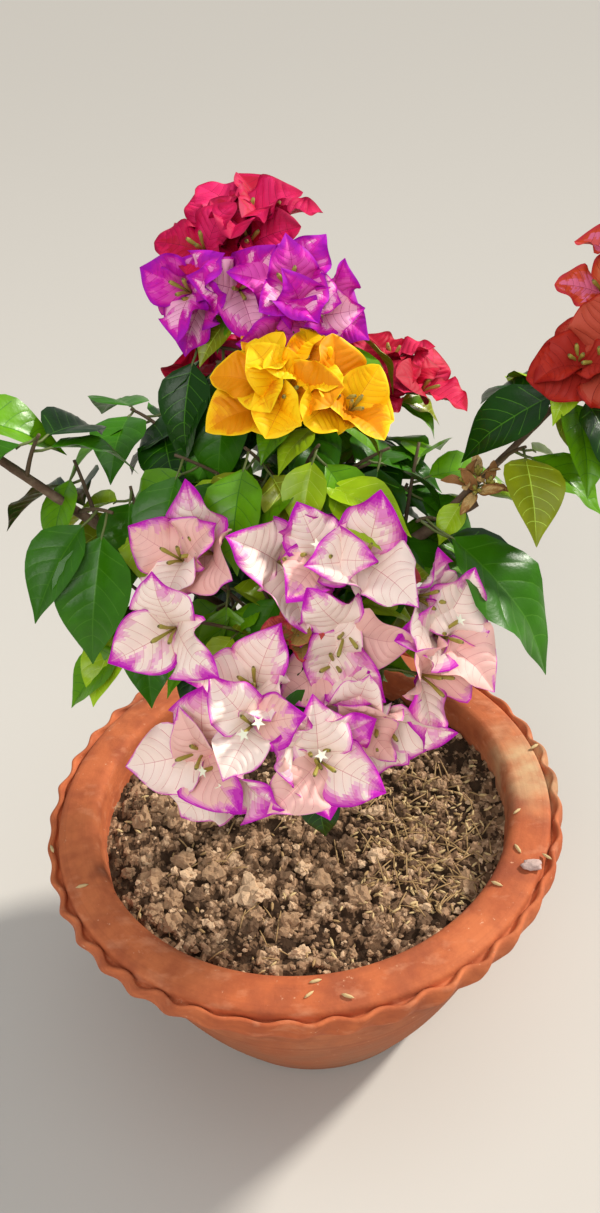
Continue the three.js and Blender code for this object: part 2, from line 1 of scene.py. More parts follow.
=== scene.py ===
"""Looks of a grafted bougainvillea bush in its clay pot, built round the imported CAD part. Sizes are in
millimetres until a mesh is made. The origin is the centre of the pot's underside, +X the viewer's right and
+Y away from the viewer."""

from itertools import combinations
from math import cos, exp, hypot, pi, radians, sin, sqrt

import bpy
import numpy as np
from mathutils import Matrix, Vector
from mathutils.noise import cell, fractal, noise, voronoi


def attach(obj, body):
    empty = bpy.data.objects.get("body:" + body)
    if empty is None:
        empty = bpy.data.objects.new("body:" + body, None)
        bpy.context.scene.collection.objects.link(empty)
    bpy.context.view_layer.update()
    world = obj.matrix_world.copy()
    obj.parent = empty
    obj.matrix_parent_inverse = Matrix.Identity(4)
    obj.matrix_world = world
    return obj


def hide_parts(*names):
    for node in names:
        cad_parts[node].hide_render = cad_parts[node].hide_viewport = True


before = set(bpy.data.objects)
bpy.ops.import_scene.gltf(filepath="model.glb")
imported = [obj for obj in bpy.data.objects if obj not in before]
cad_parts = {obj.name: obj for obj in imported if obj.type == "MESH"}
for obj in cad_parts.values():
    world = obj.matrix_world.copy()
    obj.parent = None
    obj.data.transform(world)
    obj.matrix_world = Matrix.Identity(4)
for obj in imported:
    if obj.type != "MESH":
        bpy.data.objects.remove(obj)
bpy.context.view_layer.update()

MM = 0.001
UP = Vector((0, 0, 1))
TURN = radians(137.5)
CIRCLE = 2 * pi
MASK = 0xFFFFFFFF

# Camera: place in millimetres, pitch and roll in degrees, focal length in pixels of a picture 1213 high
CAMERA_AT = (9.3, -486.5, 685.7)
CAMERA_PITCH, CAMERA_ROLL = 36.46, -4.93
FOCAL_PIXELS, PICTURE_HEIGHT, SENSOR = 1050, 1213, 36

# Studio, in metres: floor, the point that the lamps face, sun, and the lamps' place, size, power and colour
FLOOR_REACH, FLOOR_DROP, LIT_POINT = 40, 0.0003, (0, 0, 0.3)
SUN_FROM, SUN_WIDTH, SUN_POWER, SUN_COLOUR = (2.15, 1.0, 1.7), radians(7), 4.2, (1, 0.95, 0.88)
LAMPS = {"fill": ((-0.6, -2.2, 2.0), 1.5, 34, (1, 0.99, 0.97)), "top": ((0.2, -0.3, 2.6), 1.6, 12, (1, 1, 1))}
SKY_COLOUR, SKY_POWER = (0.9, 0.94, 1, 1), 0.36

# Pot, by the part's source with a finer lip. A bend is a height and how far the wall is in from the neck
RIM_RADIUS, POT_HEIGHT, FOOT_RADIUS = 170, 172, 92
FLANGE_WIDTH, LIP_HEIGHT, WALL, FLOOR = 35, 15, 10, 12
BOWL_BENDS = (48, 27), (96, 10)
LIP_WAVES, LIP_PRESS, LIP_LIFT, LIP_SLANT, SECTORS_PER_WAVE = 40, 1.6, 0.56, 0.16, 16
# The foot's edge: how far outside the foot and how high
FOOT_PROFILE = (-FOOT_RADIUS, 1), (-46, 1), (-3, 0.6), (0, 0.2), (2, 1.4)
# The crimped strip and its groove: how far inside the rim, how far below the top and how much it waves
LIP_PROFILE = [
    (8.5, 15, 0.2), (6, 15.5, 0.3), (3.9, 14.4, 0.5), (2.6, 12, 0.75), (2.2, 8.8, 0.95), (2.3, 5.8, 1),
    (2.5, 3.6, 1), (3.1, 2.1, 1), (4.2, 1.3, 1), (5.3, 1.6, 1), (6.2, 2.8, 1), (6.8, 4.6, 0.9), (7.4, 6, 0.5),
    (8, 6.2, 0.2), (8.5, 5.2, 0.05), (8.8, 3.2, 0), (9.4, 1.4, 0), (10.5, 0.5, 0), (12, 0.1, 0),
]

# The dusty place on the flange, with its reach
DUST_AT, DUST_REACH = (156, 8, 172), 52

# Soil: its reach, the rings of its mesh, and the clods' sizes with the heights that they add
SOIL_TOP, SOIL_RADIUS, SOIL_RINGS, SOIL_SECTORS = 152, RIM_RADIUS - FLANGE_WIDTH - 0.6, 118, 400
LARGE_CLOD, MIDDLE_CLOD, SMALL_CLOD = (17, 8), (7.5, 3.8), (3.4, 1.5)
SWELL_HEIGHT, CRUMB_HEIGHT, CLOD_MIDDLE = 3.2, 0.5, 0.4
# Soil colours from the cracks' painted shade to the clods' painted light, and where each lighter colour starts
SOIL_COLOURS = (66, 48, 34), (120, 92, 68), (168, 134, 104), (202, 168, 134)
PAINTED_SHADE_LIMITS = (0.22, 0.38, 0.56)
# Loose clods: count, distance from the pot, least size, range, depth. Single ones: place, size, shade, depth
LOOSE_CLODS = (90, 12, 3, 3.4, 0.45), (1400, 4, 0.8, 1.7, 0.2)
SINGLE_CLODS = [
    (-37, -61, 9.2, 1, 0.45), (-30, -66, 5.4, 1, 0.4), (8, -50, 8, 0, 0.45), (-98, -40, 9, 0, 0.45),
    (-60, -44, 7, 0, 0.4), (-86, -62, 6.4, 0, 0.4), (-14, -84, 6.8, 0, 0.4), (30, -72, 6, 0, 0.4),
    (-108, 8, 7.4, 0, 0.4), (44, -40, 5.6, 1, 0.4),
]
# Chaff: how many husks and straws, and the middle and width of the place where most of them lie
HUSKS, HUSK_HEAP = 430, (74, -34, 84)
STRAWS, STRAW_HEAP = 170, (78, -30, 80)
HEAP_DEPTH = 110
RIM_HUSKS = [
    (136, -32), (130, -62), (146, -70), (112, -87), (17, -153),
    (0, -142), (-4, -150), (-162, -30), (-139, -62), (160, 24),
]
RIM_CRUMB, CRUMB_SIZE = (136, -76), (6.5, 3.6, 2.4)

# Numbers of materials in their pieces
BARK, GREEN = 0, 1
CUT_WOOD = 1
TUBE_END, STAR = 1, 2
HUSK, STRAW, CRUMB = 3, 4, 5

# Plant: sizes and rules of the part's source, a stem's steps here, and the breadth of dry bracts
TRUNK_FOOT, TRUNK_TOP, TRUNK_BOW = (-4, 22), (2, 4, 305), (-3, 6, 0)
TRUNK_RADIUS, TRUNK_TIP_RADIUS, CUT_DEPTH, ROOT_FLARE = 6.5, 5, 6, 5
TWIG_RADIUS, STALK_RADIUS, STEM_BOW, STEM_STEPS, BLOOM_NOD = 1.3, 0.9, 0.12, 12, 0.6
LEAF_BREADTH, BRACT_BREADTH, DRY_BREADTH = 0.62, 0.92, 0.4
HEADINGS = (0, 0.3, -0.3, 0.6, -0.6, 0.9, -0.9, 1.2, -1.2)
LEAF_DROP, BRACT_DROP = 0.12, 0.1
SAME_PLACE = 0.06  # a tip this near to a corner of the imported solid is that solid's own

# Finer than the source: radii along stalks and flower tubes, a tube's share of the bract's length, the share
# of pink blossom's tubes that end in a star, the star's form, and the young leaves below each blossom
LEAF_STALK, BLOOM_STALK, FLOWER_TUBE = (0.85, 0.75, 0.7, 0.45), (0.7, 0.6, 1.1), (0.6, 0.85, 1.2, 0.7)
TUBE_SHARE, STAR_SHARE, STAR_TIP, STAR_NOTCH = 0.5, 0.12, (1.0, 3.6), (0.4, 1.5)
COLLAR, COLLAR_FROM, COLLAR_STEP = (3, 30, -90, 360, 30, 0.4), 0.45, 0.16

# name: (parent, share of the parent's length, tip, bow, first and last radius)
LIMBS = {
    "leader": ("trunk", 0.97, (16, 62, 482), (8, -6, 0), (4.2, 2.4)),
    "bough_left": ("trunk", 0.9, (-156, -8, 462), (2, 4, -8), (3.2, 2.2)),
    "bough_right": ("trunk", 0.86, (114, 22, 373), (-2, -2, 22), (4.2, 3)),
    "shoot_right": ("bough_right", 0.74, (188, 26, 464), (2, 0, -4), (2.2, 1.5)),
    "bough_back": ("leader", 0.3, (66, 86, 398), (4, 2, 4), (2.4, 1.7)),
    "bough_rear": ("leader", 0.16, (-60, 84, 400), (-6, 4, 8), (2.6, 1.8)),
    "bough_front": ("trunk", 0.78, (8, -50, 330), (0, -4, 10), (3, 2.1)),
    "bough_low": ("trunk", 0.66, (-60, -26, 330), (-4, -2, 12), (2.4, 1.7)),
}

# name: limb, share of its length, tip, seed, finish and numbers. Those of leaves are count, length, heading,
# arc, hang and bare share of the stem, and those of blooms count, bract's length, facing, fan, spin and stalk
SPRAYS = {
    "blossom_magenta": ("leader", 1, (-4, 80, 507), 3, "magenta", 4, 30, (0.05, -0.5, 0.9), 80, 45, 16),
    "blossom_purple_left": ("leader", 0.9, (-20, 58, 501), 5, "purple", 3, 30, (-0.3, -0.8, 0.6), 80, 40, 15),
    "blossom_purple_right": ("leader", 0.95, (18, 42, 488), 8, "purple", 4, 31, (0.15, -0.8, 0.6), 80, 70, 15),
    "blossom_yellow": ("leader", 0.62, (18, 12, 452), 21, "yellow", 4, 34, (0.05, -0.5, 0.9), 80, 60, 18),
    "blossom_red_left": ("bough_back", 0.9, (40, 84, 418), 30, "red", 3, 28, (-0.2, -0.3, 1), 60, 30, 16),
    "blossom_red_right": ("bough_back", 1, (76, 94, 408), 31, "red", 3, 28, (0.3, -0.3, 1), 60, 90, 16),
    "blossom_flame_low": ("shoot_right", 0.9, (176, 18, 464), 54, "flame", 2, 36, (-0.4, -0.5, 0.8), 66, 20, 18),
    "blossom_flame": ("shoot_right", 1, (196, 34, 486), 55, "coral", 4, 36, (0.1, -0.4, 1), 72, 75, 20),
    "blossom_pink_top": ("bough_front", 0.6, (-17, -36, 387), 70, "pink", 2, 40, (-0.05, -0.8, 0.6), 90, 80, 15),
    "blossom_pink_left": ("bough_front", 0.8, (-46, -56, 364), 72, "pink", 1, 40, (-0.4, -0.9, 0.3), 10, 0, 20),
    "blossom_pink_right": ("bough_front", 0.66, (45, -48, 369), 73, "pink", 2, 40, (0.25, -0.8, 0.5), 90, 66, 22),
    "blossom_pink_outer": ("bough_front", 0.86, (50, -66, 330), 74, "pink", 3, 40, (0.2, -0.9, 0.4), 90, -60, 22),
    "blossom_pink_low": ("bough_front", 1, (-14, -92, 318), 75, "pink", 3, 40, (-0.1, -0.9, 0.5), 90, 10, 24),
    "blossom_rear": ("bough_rear", 0.7, (-14, 116, 408), 92, "magenta", 4, 34, (-0.1, 0.8, 0.8), 66, 0, 20),
    "leaves_upper_left": ("leader", 0.8, (-24, 40, 462), 11, "leaf", 5, 54, 215, 160, 62, 0.5),
    "leaves_upper_right": ("leader", 0.84, (46, 60, 470), 112, "young", 3, 44, -40, 120, 38, 0.5),
    "leaves_centre_left": ("leader", 0.45, (-18, 2, 412), 41, "young", 6, 56, 240, 200, 16, 0.4),
    "leaves_centre": ("leader", 0.5, (22, -10, 410), 342, "young", 5, 50, -90, 170, 18, 0.5),
    "leaves_centre_right": ("leader", 0.4, (54, 14, 408), 143, "leaf", 5, 54, -40, 230, 16, 0.4),
    "leaves_right_upper": ("bough_right", 0.66, (84, 40, 404), 44, "leaf", 4, 56, 40, 220, 10, 0.4),
    "leaf_right_big": ("bough_right", 0.84, (75, -14, 386), 47, "leaf", 2, 90, -30, 90, 50, 0.6),
    "leaves_shoot": ("shoot_right", 0.4, (136, 6, 414), 151, "young", 4, 52, -20, 200, 26, 0.4),
    "leaves_shoot_tip": ("shoot_right", 0.72, (162, 10, 444), 52, "leaf", 5, 54, -70, 320, 34, 0.3),
    "leaves_left_tip": ("bough_left", 1, (-172, -14, 476), 61, "leaf", 5, 52, 180, 330, 24, 0.2),
    "leaves_left_upper": ("bough_left", 0.8, (-110, -20, 458), 62, "leaf", 3, 46, 150, 220, 24, 0.5),
    "leaf_left_big": ("bough_left", 0.66, (-82, -22, 412), 63, "leaf", 2, 64, -100, 60, 48, 0.5),
    "leaves_left_inner": ("bough_left", 0.46, (-78, 22, 402), 564, "young", 5, 52, 245, 250, 24, 0.4),
    "leaves_low_left": ("bough_low", 1, (-84, -32, 334), 366, "leaf", 5, 46, 200, 220, 30, 0.2),
    "leaves_inner_left": ("bough_low", 0.55, (-32, -38, 352), 586, "leaf", 4, 46, 245, 220, 32, 0.4),
    "leaves_inner_right": ("bough_right", 0.42, (66, -8, 354), 383, "leaf", 4, 50, -30, 260, 26, 0.4),
    "leaves_right_rear": ("bough_right", 0.5, (72, 58, 374), 84, "leaf", 5, 54, 60, 240, 24, 0.4),
    "leaves_front": ("bough_front", 0.45, (14, -40, 356), 281, "leaf", 3, 42, -90, 200, 20, 0.4),
    "leaves_rear": ("bough_rear", 1, (-82, 98, 412), 91, "leaf", 6, 56, 120, 340, 20, 0.1),
    "leaves_back": ("bough_back", 0.5, (30, 104, 388), 193, "leaf", 6, 58, 80, 320, 24, 0.3),
    "leaves_back_low": ("bough_rear", 0.4, (-16, 96, 348), 194, "leaf", 5, 56, 90, 260, 26, 0.4),
}


# Finer growth by the same rule, within the reach of the sprays above: rows for each limb, without a name
FINER = {
    "leader": [
        (0.42, (-12, -2, 432), 901, "young", 5, 52, -110, 150, 50, 0.4),
        (0.46, (26, -6, 432), 902, "young", 4, 46, -70, 130, 52, 0.5),
        (0.4, (65, 18, 414), 903, "leaf", 4, 52, -40, 200, 38, 0.4),
        (0.36, (-50, 12, 424), 904, "leaf", 5, 52, 230, 160, 50, 0.4),
        (0.66, (24, 78, 440), 913, "leaf", 6, 54, 90, 340, 34, 0.3),
        (0.2, (14, 34, 384), 916, "leaf", 8, 50, 0, 360, 40, 0.3),
        (0.82, (-36, 46, 470), 1170, "leaf", 5, 50, 235, 130, 62, 0.4),
        (1, (-2, 78, 509), 921, "magenta", 2, 31, (0.05, -0.5, 0.9), 40, 0, 9),
        (0.9, (-28, 54, 492), 978, "purple", 1, 32, (-0.5, -0.7, 0.6), 0, 0, 11),
        (1, (-20, 66, 506), 1295, "magenta", 1, 30, (-0.4, -0.5, 0.8), 0, 0, 10),
        (0.95, (19, 43, 489), 1345, "purple", 1, 30, (0.1, -0.7, 0.6), 0, 0, 9),
        (0.95, (20, 40, 487), 923, "purple", 2, 32, (0.15, -0.8, 0.6), 46, 20, 10),
        (0.62, (39, 4, 441), 1826, "yellow", 1, 30, (0.4, -0.6, 0.7), 0, 0, 9),
        (0.62, (11, 8, 457), 924, "yellow", 4, 27, (-0.05, -0.5, 0.9), 50, 15, 11),
    ],
    "bough_low": [
        (0.4, (-28, -34, 370), 905, "leaf", 5, 50, -120, 160, 58, 0.4),
        (0.9, (-84, -12, 362), 908, "leaf", 5, 48, 200, 230, 56, 0.3),
        (1, (-98, -14, 338), 909, "young", 4, 42, 190, 200, 42, 0.5),
    ],
    "bough_front": [
        (0.3, (4, -40, 374), 906, "leaf", 4, 46, -80, 170, 55, 0.4),
        (0.5, (22, -52, 366), 907, "young", 6, 26, -90, 330, 36, 0.3),
        (0.95, (12, -95, 292), 918, "leaf", 2, 36, -80, 60, 66, 0.8),
        (0.7, (6, -59, 350), 941, "new", 2, 15, (0, -0.6, 0.8), 30, 40, 5),
        (0.9, (16, -64, 318), 942, "new", 1, 14, (0.2, -0.6, 0.8), 0, 0, 5),
        (0.6, (43, -33, 374), 931, "pink", 1, 37, (0.1, -0.7, 0.7), 0, 0, 9),
        (0.6, (22, -36, 379), 932, "pink", 1, 33, (0, -0.7, 0.7), 0, 0, 9),
        (0.6, (-45, -33, 383), 933, "pink", 1, 34, (-0.4, -0.6, 0.8), 0, 0, 9),
        (0.86, (74, -46, 333), 934, "pink", 1, 38, (0.5, -0.7, 0.6), 0, 0, 9),
        (0.95, (-41, -87, 306), 935, "pink", 1, 40, (-0.4, -0.8, 0.5), 0, 0, 12),
        (1, (11, -98, 303), 936, "pink", 1, 37, (0.1, -0.8, 0.5), 0, 0, 12),
        (1, (-18, -100, 329), 1166, "pink", 1, 34, (-0.1, -0.7, 0.7), 0, 0, 9),
        (0.8, (27, -59, 331), 937, "pink", 1, 36, (-0.2, -0.8, 0.6), 0, 0, 9),
    ],
    "bough_left": [
        (0.6, (-104, 16, 424), 910, "leaf", 3, 44, 200, 160, 40, 0.4),
    ],
    "bough_right": [
        (0.5, (76, 30, 384), 911, "leaf", 5, 48, -30, 260, 46, 0.4),
        (0.5, (54, -34, 366), 943, "new", 1, 18, (0.3, -0.7, 0.7), 0, 0, 6),
        (0.9, (112, 12, 388), 944, "dry", 4, 15, (-0.1, -0.4, 1), 64, 0, 5),
    ],
    "shoot_right": [
        (0.6, (156, 36, 436), 912, "young", 3, 42, 40, 200, 30, 0.5),
        (0.9, (161, 6, 454), 1179, "flame", 1, 26, (-0.3, -0.5, 0.9), 0, 0, 9),
        (1, (179, 34, 478), 1295, "coral", 1, 27, (-0.3, -0.5, 0.9), 0, 0, 9),
        (1, (195, 32, 487), 926, "coral", 3, 32, (0.1, -0.4, 1), 46, 30, 10),
    ],
    "bough_rear": [
        (0.5, (-48, 66, 424), 914, "leaf", 6, 52, 150, 340, 34, 0.3),
        (0.7, (-14, 114, 409), 927, "magenta", 3, 30, (-0.1, 0.8, 0.8), 44, 60, 10),
    ],
    "bough_back": [
        (0.5, (66, 62, 400), 915, "leaf", 6, 52, 30, 340, 34, 0.3),
        (1, (76, 92, 409), 925, "red", 1, 26, (0.3, -0.3, 1), 0, 30, 9),
    ],
    "trunk": [
        (0.82, (-24, 34, 338), 917, "leaf", 6, 46, 180, 340, 40, 0.4),
    ],
}

# Leaves and blooms of SPRAYS that stay away, where ground, a bough or another colour shows
OPEN = {
    "leaves_shoot": (0,), "leaves_right_upper": (0, 3), "leaves_centre_right": (4,), "leaves_low_left": (2,),
    "blossom_yellow": (1, 3), "blossom_purple_left": (0,), "blossom_purple_right": (3,),
    "blossom_flame_low": (0,),
}

# The odds of the first five leaf shades
LEAF_ODDS = {"leaf": (0.36, 0.4, 0.2, 0, 0.04), "young": (0.04, 0.16, 0.3, 0.36, 0.14)}
LEAF_SHADES = {
    "leaf_deep": (20, 58, 3), "leaf_mid": (46, 98, 5), "leaf_fresh": (88, 140, 8), "leaf_lime": (150, 184, 26),
    "leaf_olive": (126, 136, 18), "leaf_vein": (62, 112, 20), "leaf_vein_pale": (174, 200, 70),
}
LIME, VEIN, PALE_VEIN = 3, 5, 6

# For each kind of blossom how far the edge's colour spreads, then the colours of the bract's edge, within it,
# of its middle, of its veins, and the one that some bracts have in the middle instead
BLOSSOM = {
    "pink": (1.1, (184, 12, 172), (226, 132, 192), (246, 224, 212), (210, 140, 142), (238, 188, 178)),
    "purple": (2.7, (168, 4, 172), (204, 22, 164), (240, 172, 204), (164, 14, 110), (220, 76, 176)),
    "magenta": (1.8, (168, 0, 62), (196, 2, 72), (216, 30, 96), (130, 0, 44), (178, 0, 48)),
    "yellow": (1.6, (254, 210, 18), (250, 186, 0), (232, 146, 0), (222, 132, 0), (252, 198, 6)),
    "red": (1.8, (158, 0, 34), (194, 4, 52), (216, 40, 84), (120, 0, 28), (176, 0, 40)),
    "flame": (1.5, (142, 16, 10), (170, 36, 18), (186, 76, 56), (116, 12, 10), (164, 40, 30)),
    "coral": (1.3, (196, 50, 60), (206, 72, 36), (228, 120, 78), (132, 28, 16), (222, 108, 140)),
    "new": (1.2, (170, 30, 60), (196, 84, 66), (150, 120, 60), (120, 40, 40), (180, 70, 70)),
    "dry": (1.2, (120, 76, 40), (166, 122, 66), (196, 164, 108), (104, 68, 38), (150, 104, 60)),
}
BRACT_SLOTS = {"coral": "bract_flame", "new": "bract_flame", "dry": "bark"}
POINTED, ROUND_CALM = ("pink", "purple"), 0.6
RING_LIMITS = (0.05, 0.1, 0.17, 0.26, 0.38, 0.54)  # how far in from the edge each further shade starts
RINGS = len(RING_LIMITS) + 1

# What a leaf and a bract draw for their shape, in this order: least value and range
LEAF_LOOK = {
    "drop": (0.08, 0.14), "cup": (-0.12, 0.3), "wave": (0, 0.16), "waves": (1.2, 1.4), "phase": (0, 1),
    "puff": (0.4, 0.3), "curl": (0, 0.1), "sway": (-0.05, 0.1),
}
BRACT_LOOK = {
    "drop": (0.04, 0.26), "cup": (-0.15, 0.5), "wave": (0.18, 0.26), "waves": (1.3, 1.6), "phase": (0, 1),
    "curl": (-0.105, 0.3), "sway": (-0.07, 0.14),
}
BRACT_PUFF = 0.5
# Lift along a blade at these shares of its length, up to where its tip starts to drop
ARCH_AT, ARCH = (0, 0.15, 0.3, 0.5, 0.66, 0.85, 1), (0, 0.02, 0.03, 0.024, 0)


def srgb(red, green, blue):
    """Linear colour from 8-bit screen values."""
    return tuple(((c / 255 + 0.055) / 1.055) ** 2.4 if c > 10 else c / 3294.6 for c in (red, green, blue))


def seeded(seed):
    """The part source's repeatable stream of numbers from 0 to 1."""
    state = seed & MASK

    def draw():
        nonlocal state
        state = (state + 0x6D2B79F5) & MASK
        t = state
        t = ((t ^ (t >> 15)) * (t | 1)) & MASK
        t ^= (t + (((t ^ (t >> 7)) * (t | 61)) & MASK)) & MASK
        return ((t ^ (t >> 14)) & MASK) / 4294967296

    return draw


def turned(vector, axis, angle):
    return Matrix.Rotation(angle, 3, axis) @ vector


class Bow:
    """A quadratic curve read by share of its length, as the part's source reads it."""

    STEPS = 200

    def __init__(self, start, end, bow):
        self.ends = Vector(start), (Vector(start) + Vector(end)) / 2 + Vector(bow), Vector(end)
        points = [self.point(i / self.STEPS) for i in range(self.STEPS + 1)]
        self.sums = np.cumsum([0] + [(b - a).length for a, b in zip(points, points[1:])])

    def point(self, t):
        a, b, c = self.ends
        return a * (1 - t) ** 2 + b * (2 * t * (1 - t)) + c * t * t

    def at(self, share):
        place = np.interp(share * self.sums[-1], self.sums, np.arange(self.STEPS + 1))
        return self.point(float(place) / self.STEPS)


def smooth(points, samples=160):
    """A smooth function through (x, y) points."""
    xs, ys = np.array(points, float).T
    slopes = np.gradient(ys, xs)
    grid = np.linspace(xs[0], xs[-1], samples)
    k = np.clip(np.searchsorted(xs, grid, side="right") - 1, 0, len(xs) - 2)
    width = xs[k + 1] - xs[k]
    u = (grid - xs[k]) / width
    values = (
        (2 * u**3 - 3 * u**2 + 1) * ys[k]
        + (u**3 - 2 * u**2 + u) * width * slopes[k]
        + (3 * u**2 - 2 * u**3) * ys[k + 1]
        + (u**3 - u**2) * width * slopes[k + 1]
    )
    return lambda x: np.interp(x, grid, values)


# Materials


class Shading:
    """A new material, with short calls for its nodes. Sizes and depths are in millimetres."""

    def __init__(self, name, rough, shine):
        self.made = bpy.data.materials.new(name)
        self.made.use_nodes = True
        self.tree = self.made.node_tree
        self.place = self.node("TexCoord", "Object")
        self.give("Roughness", rough)
        self.give("Specular IOR Level", shine)

    def give(self, name, value, node=None):
        """Set an input of a node, or else of the surface, to a plain value or to another node's output."""
        socket = (node or self.tree.nodes["Principled BSDF"]).inputs[name]
        if isinstance(value, bpy.types.NodeSocket):
            self.tree.links.new(value, socket)
        else:
            socket.default_value = (*value, 1) if socket.type == "RGBA" else value

    def node(self, kind, output, inputs=None, **settings):
        made = self.tree.nodes.new("ShaderNode" + kind)
        for name, value in settings.items():
            setattr(made, name, value)
        for name, value in (inputs or {}).items():
            self.give(name, value, made)
        return made.outputs[output]

    def cloud(self, size, detail=4, rough=0.55, place=None):
        inputs = {"Scale": 1 / (size * MM), "Detail": detail, "Roughness": rough}
        return self.node("TexNoise", "Fac", {"Vector": place or self.place, **inputs})

    def ramp(self, source, low, high, first=(0, 0, 0), second=(1, 1, 1)):
        made = self.node("ValToRGB", "Color", {"Fac": source})
        start, end = made.node.color_ramp.elements
        start.position, end.position = low, high
        start.color, end.color = (*first, 1), (*second, 1)
        return made

    def mix(self, factor, one, two):
        return self.node("Mix", 2, {0: factor, 6: one, 7: two}, data_type="RGBA")

    def bump(self, height, depth):
        inputs = {"Height": height, "Strength": 1, "Distance": depth * MM}
        self.give("Normal", self.node("Bump", "Normal", inputs))


def material(name, colour, rough=0.6, shine=0.5, grain=None, mottle=None):
    """A colour, with a bump by grain (size, depth) and a second colour by mottle (colour, size, share)."""
    shading = Shading(name, rough, shine)
    shading.give("Base Color", colour)
    if grain:
        size, depth = grain
        shading.bump(shading.cloud(size, 3, 0.5), depth)
    if mottle:
        other, size, share = mottle
        source = shading.cloud(size, 4, 0.5)
        shading.give("Base Color", shading.ramp(source, 0.62 - share * 0.3, 0.72, colour, other))
    return shading.made


def clay_material():
    """Fired clay with stains, paler bloom, a dull foot, dust, chips, pits and the wheel's marks."""
    clay = Shading("terracotta", 0.82, 0.3)
    height = clay.node("SeparateXYZ", "Z", {"Vector": clay.place})
    flat = clay.node("VectorMath", "Vector", {0: clay.place, 1: (1, 1, 0)}, operation="MULTIPLY")
    radius = clay.node("VectorMath", "Value", {0: flat}, operation="LENGTH")
    wheel = clay.node("CombineXYZ", "Vector", {"X": radius, "Z": height})
    marks, cloud = clay.cloud(4, 3, 0.5, wheel), clay.cloud

    def stained(body, source, low, high, colour, strength=1):
        return clay.mix(clay.ramp(source, low, high), body, clay.mix(strength, body, srgb(*colour)))

    body = clay.mix(clay.ramp(cloud(70), 0.35, 0.7), srgb(188, 98, 56), srgb(206, 118, 72))
    body = stained(body, cloud(14, 5), 0.42, 0.66, (150, 70, 42), 0.5)
    body = stained(body, cloud(30, 3), 0.5, 0.7, (146, 74, 48), 0.7)
    drawn_out = clay.node("Mapping", "Vector", {"Vector": clay.place, "Scale": (1, 1.7, 3)})
    body = stained(body, cloud(19, 5, place=drawn_out), 0.56, 0.72, (226, 156, 116), 0.4)
    low = clay.node("MapRange", "Result", {"Value": height, "From Min": 0.15, "From Max": 0.05})
    foot = clay.mix(clay.ramp(cloud(40), 0.4, 0.65), srgb(168, 98, 62), srgb(156, 104, 74))
    body = clay.mix(low, body, foot)
    middle = [c * MM for c in DUST_AT]
    distance = clay.node("VectorMath", "Value", {0: clay.place, 1: middle}, operation="DISTANCE")
    near = clay.node("MapRange", "Result", {"Value": distance, "From Min": DUST_REACH * MM, "From Max": 0})
    dusty = clay.node("Math", 0, {0: near, 1: clay.ramp(cloud(22, 5), 0.32, 0.62)}, operation="MULTIPLY")
    body = clay.mix(dusty, body, srgb(206, 178, 134))
    body = stained(body, cloud(5, 4, 0.7), 0.66, 0.72, (214, 158, 122))
    body = clay.mix(clay.ramp(cloud(9, 5, 0.7), 0.24, 0.3), srgb(120, 56, 38), body)
    body = stained(body, marks, 0.45, 0.7, (140, 66, 42), 0.3)
    clay.give("Base Color", body)
    clay.bump(clay.mix(0.45, cloud(3, 5), marks), 0.6)
    return clay.made


# Meshes


def linked(name, data):
    made = bpy.data.objects.new(name, data)
    bpy.context.scene.collection.objects.link(made)
    return made


class Gathered:
    """Faces of one piece, each with the number of its material."""

    def __init__(self, name, slot, materials):
        self.name, self.slot, self.materials = name, slot, materials
        self.points, self.faces, self.kinds, self.total = [], [], [], 0

    def add(self, points, faces, kind):
        points = np.asarray(points, float).reshape(-1, 3)
        self.points.append(points)
        self.faces += [tuple(int(i) + self.total for i in face) for face in faces]
        self.kinds += np.broadcast_to(kind, len(faces)).tolist()
        self.total += len(points)

    def finish(self, *nodes, smooth=True):
        mesh = bpy.data.meshes.new(self.name)
        mesh.from_pydata((np.vstack(self.points) * MM).tolist(), [], self.faces)
        for made in self.materials:
            mesh.materials.append(made)
        mesh.polygons.foreach_set("material_index", np.array(self.kinds, np.int32))
        mesh.polygons.foreach_set("use_smooth", np.full(len(self.faces), smooth))
        mesh.update()
        piece = linked(self.name, mesh)
        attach(piece, "root")
        if nodes:
            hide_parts(*nodes)


def circle(radius, count):
    """Places round a circle."""
    angles = [CIRCLE * k / count for k in range(count)]
    return [(radius * cos(angle), radius * sin(angle)) for angle in angles]


def ring_faces(rows, sectors, start=0):
    """Faces between closed rings of corners, row after row from the corner start."""
    return [
        (a + k, a + (k + 1) % sectors, a + sectors + (k + 1) % sectors, a + sectors + k)
        for a in range(start, start + (rows - 1) * sectors, sectors)
        for k in range(sectors)
    ]


def closed_faces(rows, sectors):
    """The same, with the first and last ring shut by fans round two more corners."""
    faces, middle, last = ring_faces(rows, sectors), rows * sectors, (rows - 1) * sectors
    for k in range(sectors):
        after = (k + 1) % sectors
        faces += [(middle, after, k), (middle + 1, last + k, last + after)]
    return faces


def tube(mesh, path, radii, kind, sides=8, end_kind=None, rough=None):
    """A closed round tube through points. rough(step, angle) adds to its radius."""
    first = (path[1] - path[0]).normalized()
    side, points = first.cross(UP if abs(first.z) < 0.9 else Vector((1, 0, 0))), []
    for i, point in enumerate(path):
        ahead = (path[min(i + 1, len(path) - 1)] - path[max(i - 1, 0)]).normalized()
        side = (side - ahead * side.dot(ahead)).normalized()
        other = ahead.cross(side)
        for k in range(sides):
            angle = CIRCLE * k / sides
            radius = radii[i] + (rough(i, angle) if rough else 0)
            points.append(point + side * (radius * cos(angle)) + other * (radius * sin(angle)))
    faces = closed_faces(len(path), sides)
    ends = [kind, kind if end_kind is None else end_kind] * sides
    mesh.add(points + [path[0], path[-1]], faces, [kind] * (len(faces) - len(ends)) + ends)


# Blades: leaves and bracts. s runs from -1 to 1 across and t from 0 to 1 along

